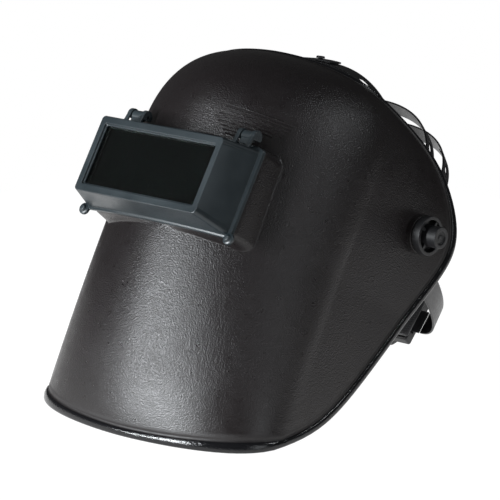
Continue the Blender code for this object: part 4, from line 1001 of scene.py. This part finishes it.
def make_sweatband():
    turns = [math.radians(39.0 + 102.0 * k / 60) for k in range(61)]
    offset = -BAND_T / 2 - SWEAT_T
    pad = piece("sweatband_pad", grid(band_rows(offset, FRONT_BAND_H - 0.0010, turns, 9)), None,
                "sweatband", matrix=HEAD, sharp=80.0)
    wall = pad.modifiers.new("wall", "SOLIDIFY")
    wall.thickness, wall.offset = SWEAT_T, 0.0
    apply_modifiers(pad)
    swell(pad, PAD_VOXEL, PAD_PRESSURE, 0.0012)
    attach(pad, "headgear")


def make_nape_pad():
    face_y = -(CASE_HALF_T + COVER_GAP + COVER_T + PAD_GAP)
    mesh = block((-PAD_X, face_y - 0.0060, -PAD_Z), (PAD_X, face_y - 0.0010, PAD_Z))
    pad = piece("nape_cushion", mesh, None, "nape_pad", matrix=NAPE, sharp=80.0)
    rounding = pad.modifiers.new("rounding", "BEVEL")
    rounding.width, rounding.segments = 0.0020, 3
    apply_modifiers(pad)
    swell(pad, PAD_VOXEL, PAD_PRESSURE, 0.0010)
    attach(pad, "headgear")


# ---- nape ratchet ------------------------------------------------------------------------------
def make_ratchet_knob():
    """A wheel with rounded grips and a shallow dish in its outer face."""
    grips, grip_depth, count = 12, 0.0009, 144
    dish_r, dish_y, dish_taper = 0.0135, RATCHET_Y1 - 0.0016, 0.88
    turns = [2.0 * math.pi * k / count for k in range(count)]
    grip_r = [RATCHET_R - grip_depth * (1.0 - math.cos(grips * turn)) / 2.0 for turn in turns]
    work = bmesh.new()

    def loop(radii, y):
        return [work.verts.new((r * math.cos(turn), y, r * math.sin(turn)))
                for r, turn in zip(radii, turns)]

    rings = [loop(grip_r, RATCHET_Y0), loop(grip_r, RATCHET_Y1), loop([dish_r] * count, RATCHET_Y1),
             loop([dish_taper * dish_r] * count, dish_y)]
    for first, second in zip(rings, rings[1:]):
        for k in range(count):
            after = (k + 1) % count
            work.faces.new((first[k], first[after], second[after], second[k]))
    work.faces.new(rings[0])
    work.faces.new(rings[-1])
    piece("nape_knob", finish_mesh(work, "knob"), "ratchet", "ratchet_knob", matrix=NAPE,
          bevel=0.0006, sharp=40.0)


# ---- floor, light and camera ---------------------------------------------------------------------
FLOOR_HALF, FLOOR_LOW, FLOOR_TOP = 0.6, -0.02, -0.0002
ROOM_LIGHT, PAPER_GLOW, LAMP_COLOUR = 0.055, 1.0, (0.93, 0.97, 1.0)
WHITE, DIM = (1.0, 1.0, 1.0, 1.0), (0.10, 0.10, 0.10, 1.0)
LAMPS = (  # name, place, width, height, watts
    ("key", (-0.52, -2.12, 0.62), 0.16, 0.95, 54.0),
    ("low", (-1.05, -2.05, 0.22), 0.22, 0.22, 22.0),
    ("brow", (-0.75, -1.50, 1.70), 0.30, 0.30, 5.0),
    ("fill", (1.95, -0.75, 0.65), 0.90, 0.90, 4.0),
    ("side", (1.66, 0.52, 1.62), 0.22, 0.22, 8.0))
LAMP_AIM = Vector((0.0, -0.02, 0.13))
EYE, EYE_AIM = Vector((1.4306, -1.6641, 0.6623)), Vector((0.09538, -0.1281, 0.14465))
LENS_LENGTH, SENSOR = 219.45, 36.0


def make_studio():
    """A glowing white floor, a room that is white to the eye but dark, and five lamps."""
    floor = bpy.data.objects.new("floor", block((-FLOOR_HALF, -FLOOR_HALF, FLOOR_LOW),
                                                (FLOOR_HALF, FLOOR_HALF, FLOOR_TOP)))
    bpy.context.scene.collection.objects.link(floor)
    paper = bpy.data.materials.new("paper")
    paper.use_nodes = True
    shader = paper.node_tree.nodes["Principled BSDF"]
    shader.inputs["Base Color"].default_value = DIM
    shader.inputs["Roughness"].default_value = 0.9
    shader.inputs["Specular IOR Level"].default_value = 0.0
    shader.inputs["Emission Color"].default_value = WHITE
    shader.inputs["Emission Strength"].default_value = PAPER_GLOW
    floor.data.materials.append(paper)

    world = bpy.data.worlds.new("studio")
    world.use_nodes = True
    nodes, links = world.node_tree.nodes, world.node_tree.links
    room, seen = nodes["Background"], nodes.new("ShaderNodeBackground")
    room.inputs["Strength"].default_value = ROOM_LIGHT
    seen.inputs["Strength"].default_value = 1.0
    for shade in (room, seen):
        shade.inputs["Color"].default_value = WHITE
    path, choice = nodes.new("ShaderNodeLightPath"), nodes.new("ShaderNodeMixShader")
    links.new(path.outputs["Is Camera Ray"], choice.inputs[0])
    links.new(room.outputs[0], choice.inputs[1])
    links.new(seen.outputs[0], choice.inputs[2])
    links.new(choice.outputs[0], nodes["World Output"].inputs["Surface"])
    bpy.context.scene.world = world
    bpy.context.scene.view_settings.view_transform = "Standard"

    for name, place, wide, high, power in LAMPS:
        light = bpy.data.lights.new(name, "AREA")
        light.shape, light.size, light.size_y, light.energy = "RECTANGLE", wide, high, power
        light.color = LAMP_COLOUR
        lamp = bpy.data.objects.new(name, light)
        lamp.location = place
        lamp.rotation_euler = (LAMP_AIM - Vector(place)).to_track_quat("-Z", "Y").to_euler()
        bpy.context.scene.collection.objects.link(lamp)


def make_camera():
    """Looks from the wearer's front left, a little above the helmet."""
    data = bpy.data.cameras.new("camera")
    data.lens, data.sensor_width = LENS_LENGTH, SENSOR
    camera = bpy.data.objects.new("camera", data)
    camera.location = EYE
    camera.rotation_euler = (EYE_AIM - EYE).to_track_quat("-Z", "Y").to_euler()
    bpy.context.scene.collection.objects.link(camera)
    bpy.context.scene.camera = camera


# ---- the whole model -------------------------------------------------------------------------------
make_studio()
make_camera()
make_shell()
make_brow_lines()
make_bosses()
make_lens_frame()
make_flip_case()
make_straps()
make_front_band()
make_ratchet_knob()
for label, direction in SIDES:
    make_tension_knob(label, direction)
    make_rear_band(label, direction)
for cad_name in ("side_arm_left", "side_arm_right", "ratchet_case", "ratchet_cover",
                 "inner_frame", "safety_lens_retainer", "crown_peg", "knob_cap"):
    refined(cad_name)
make_sweatband()
make_nape_pad()
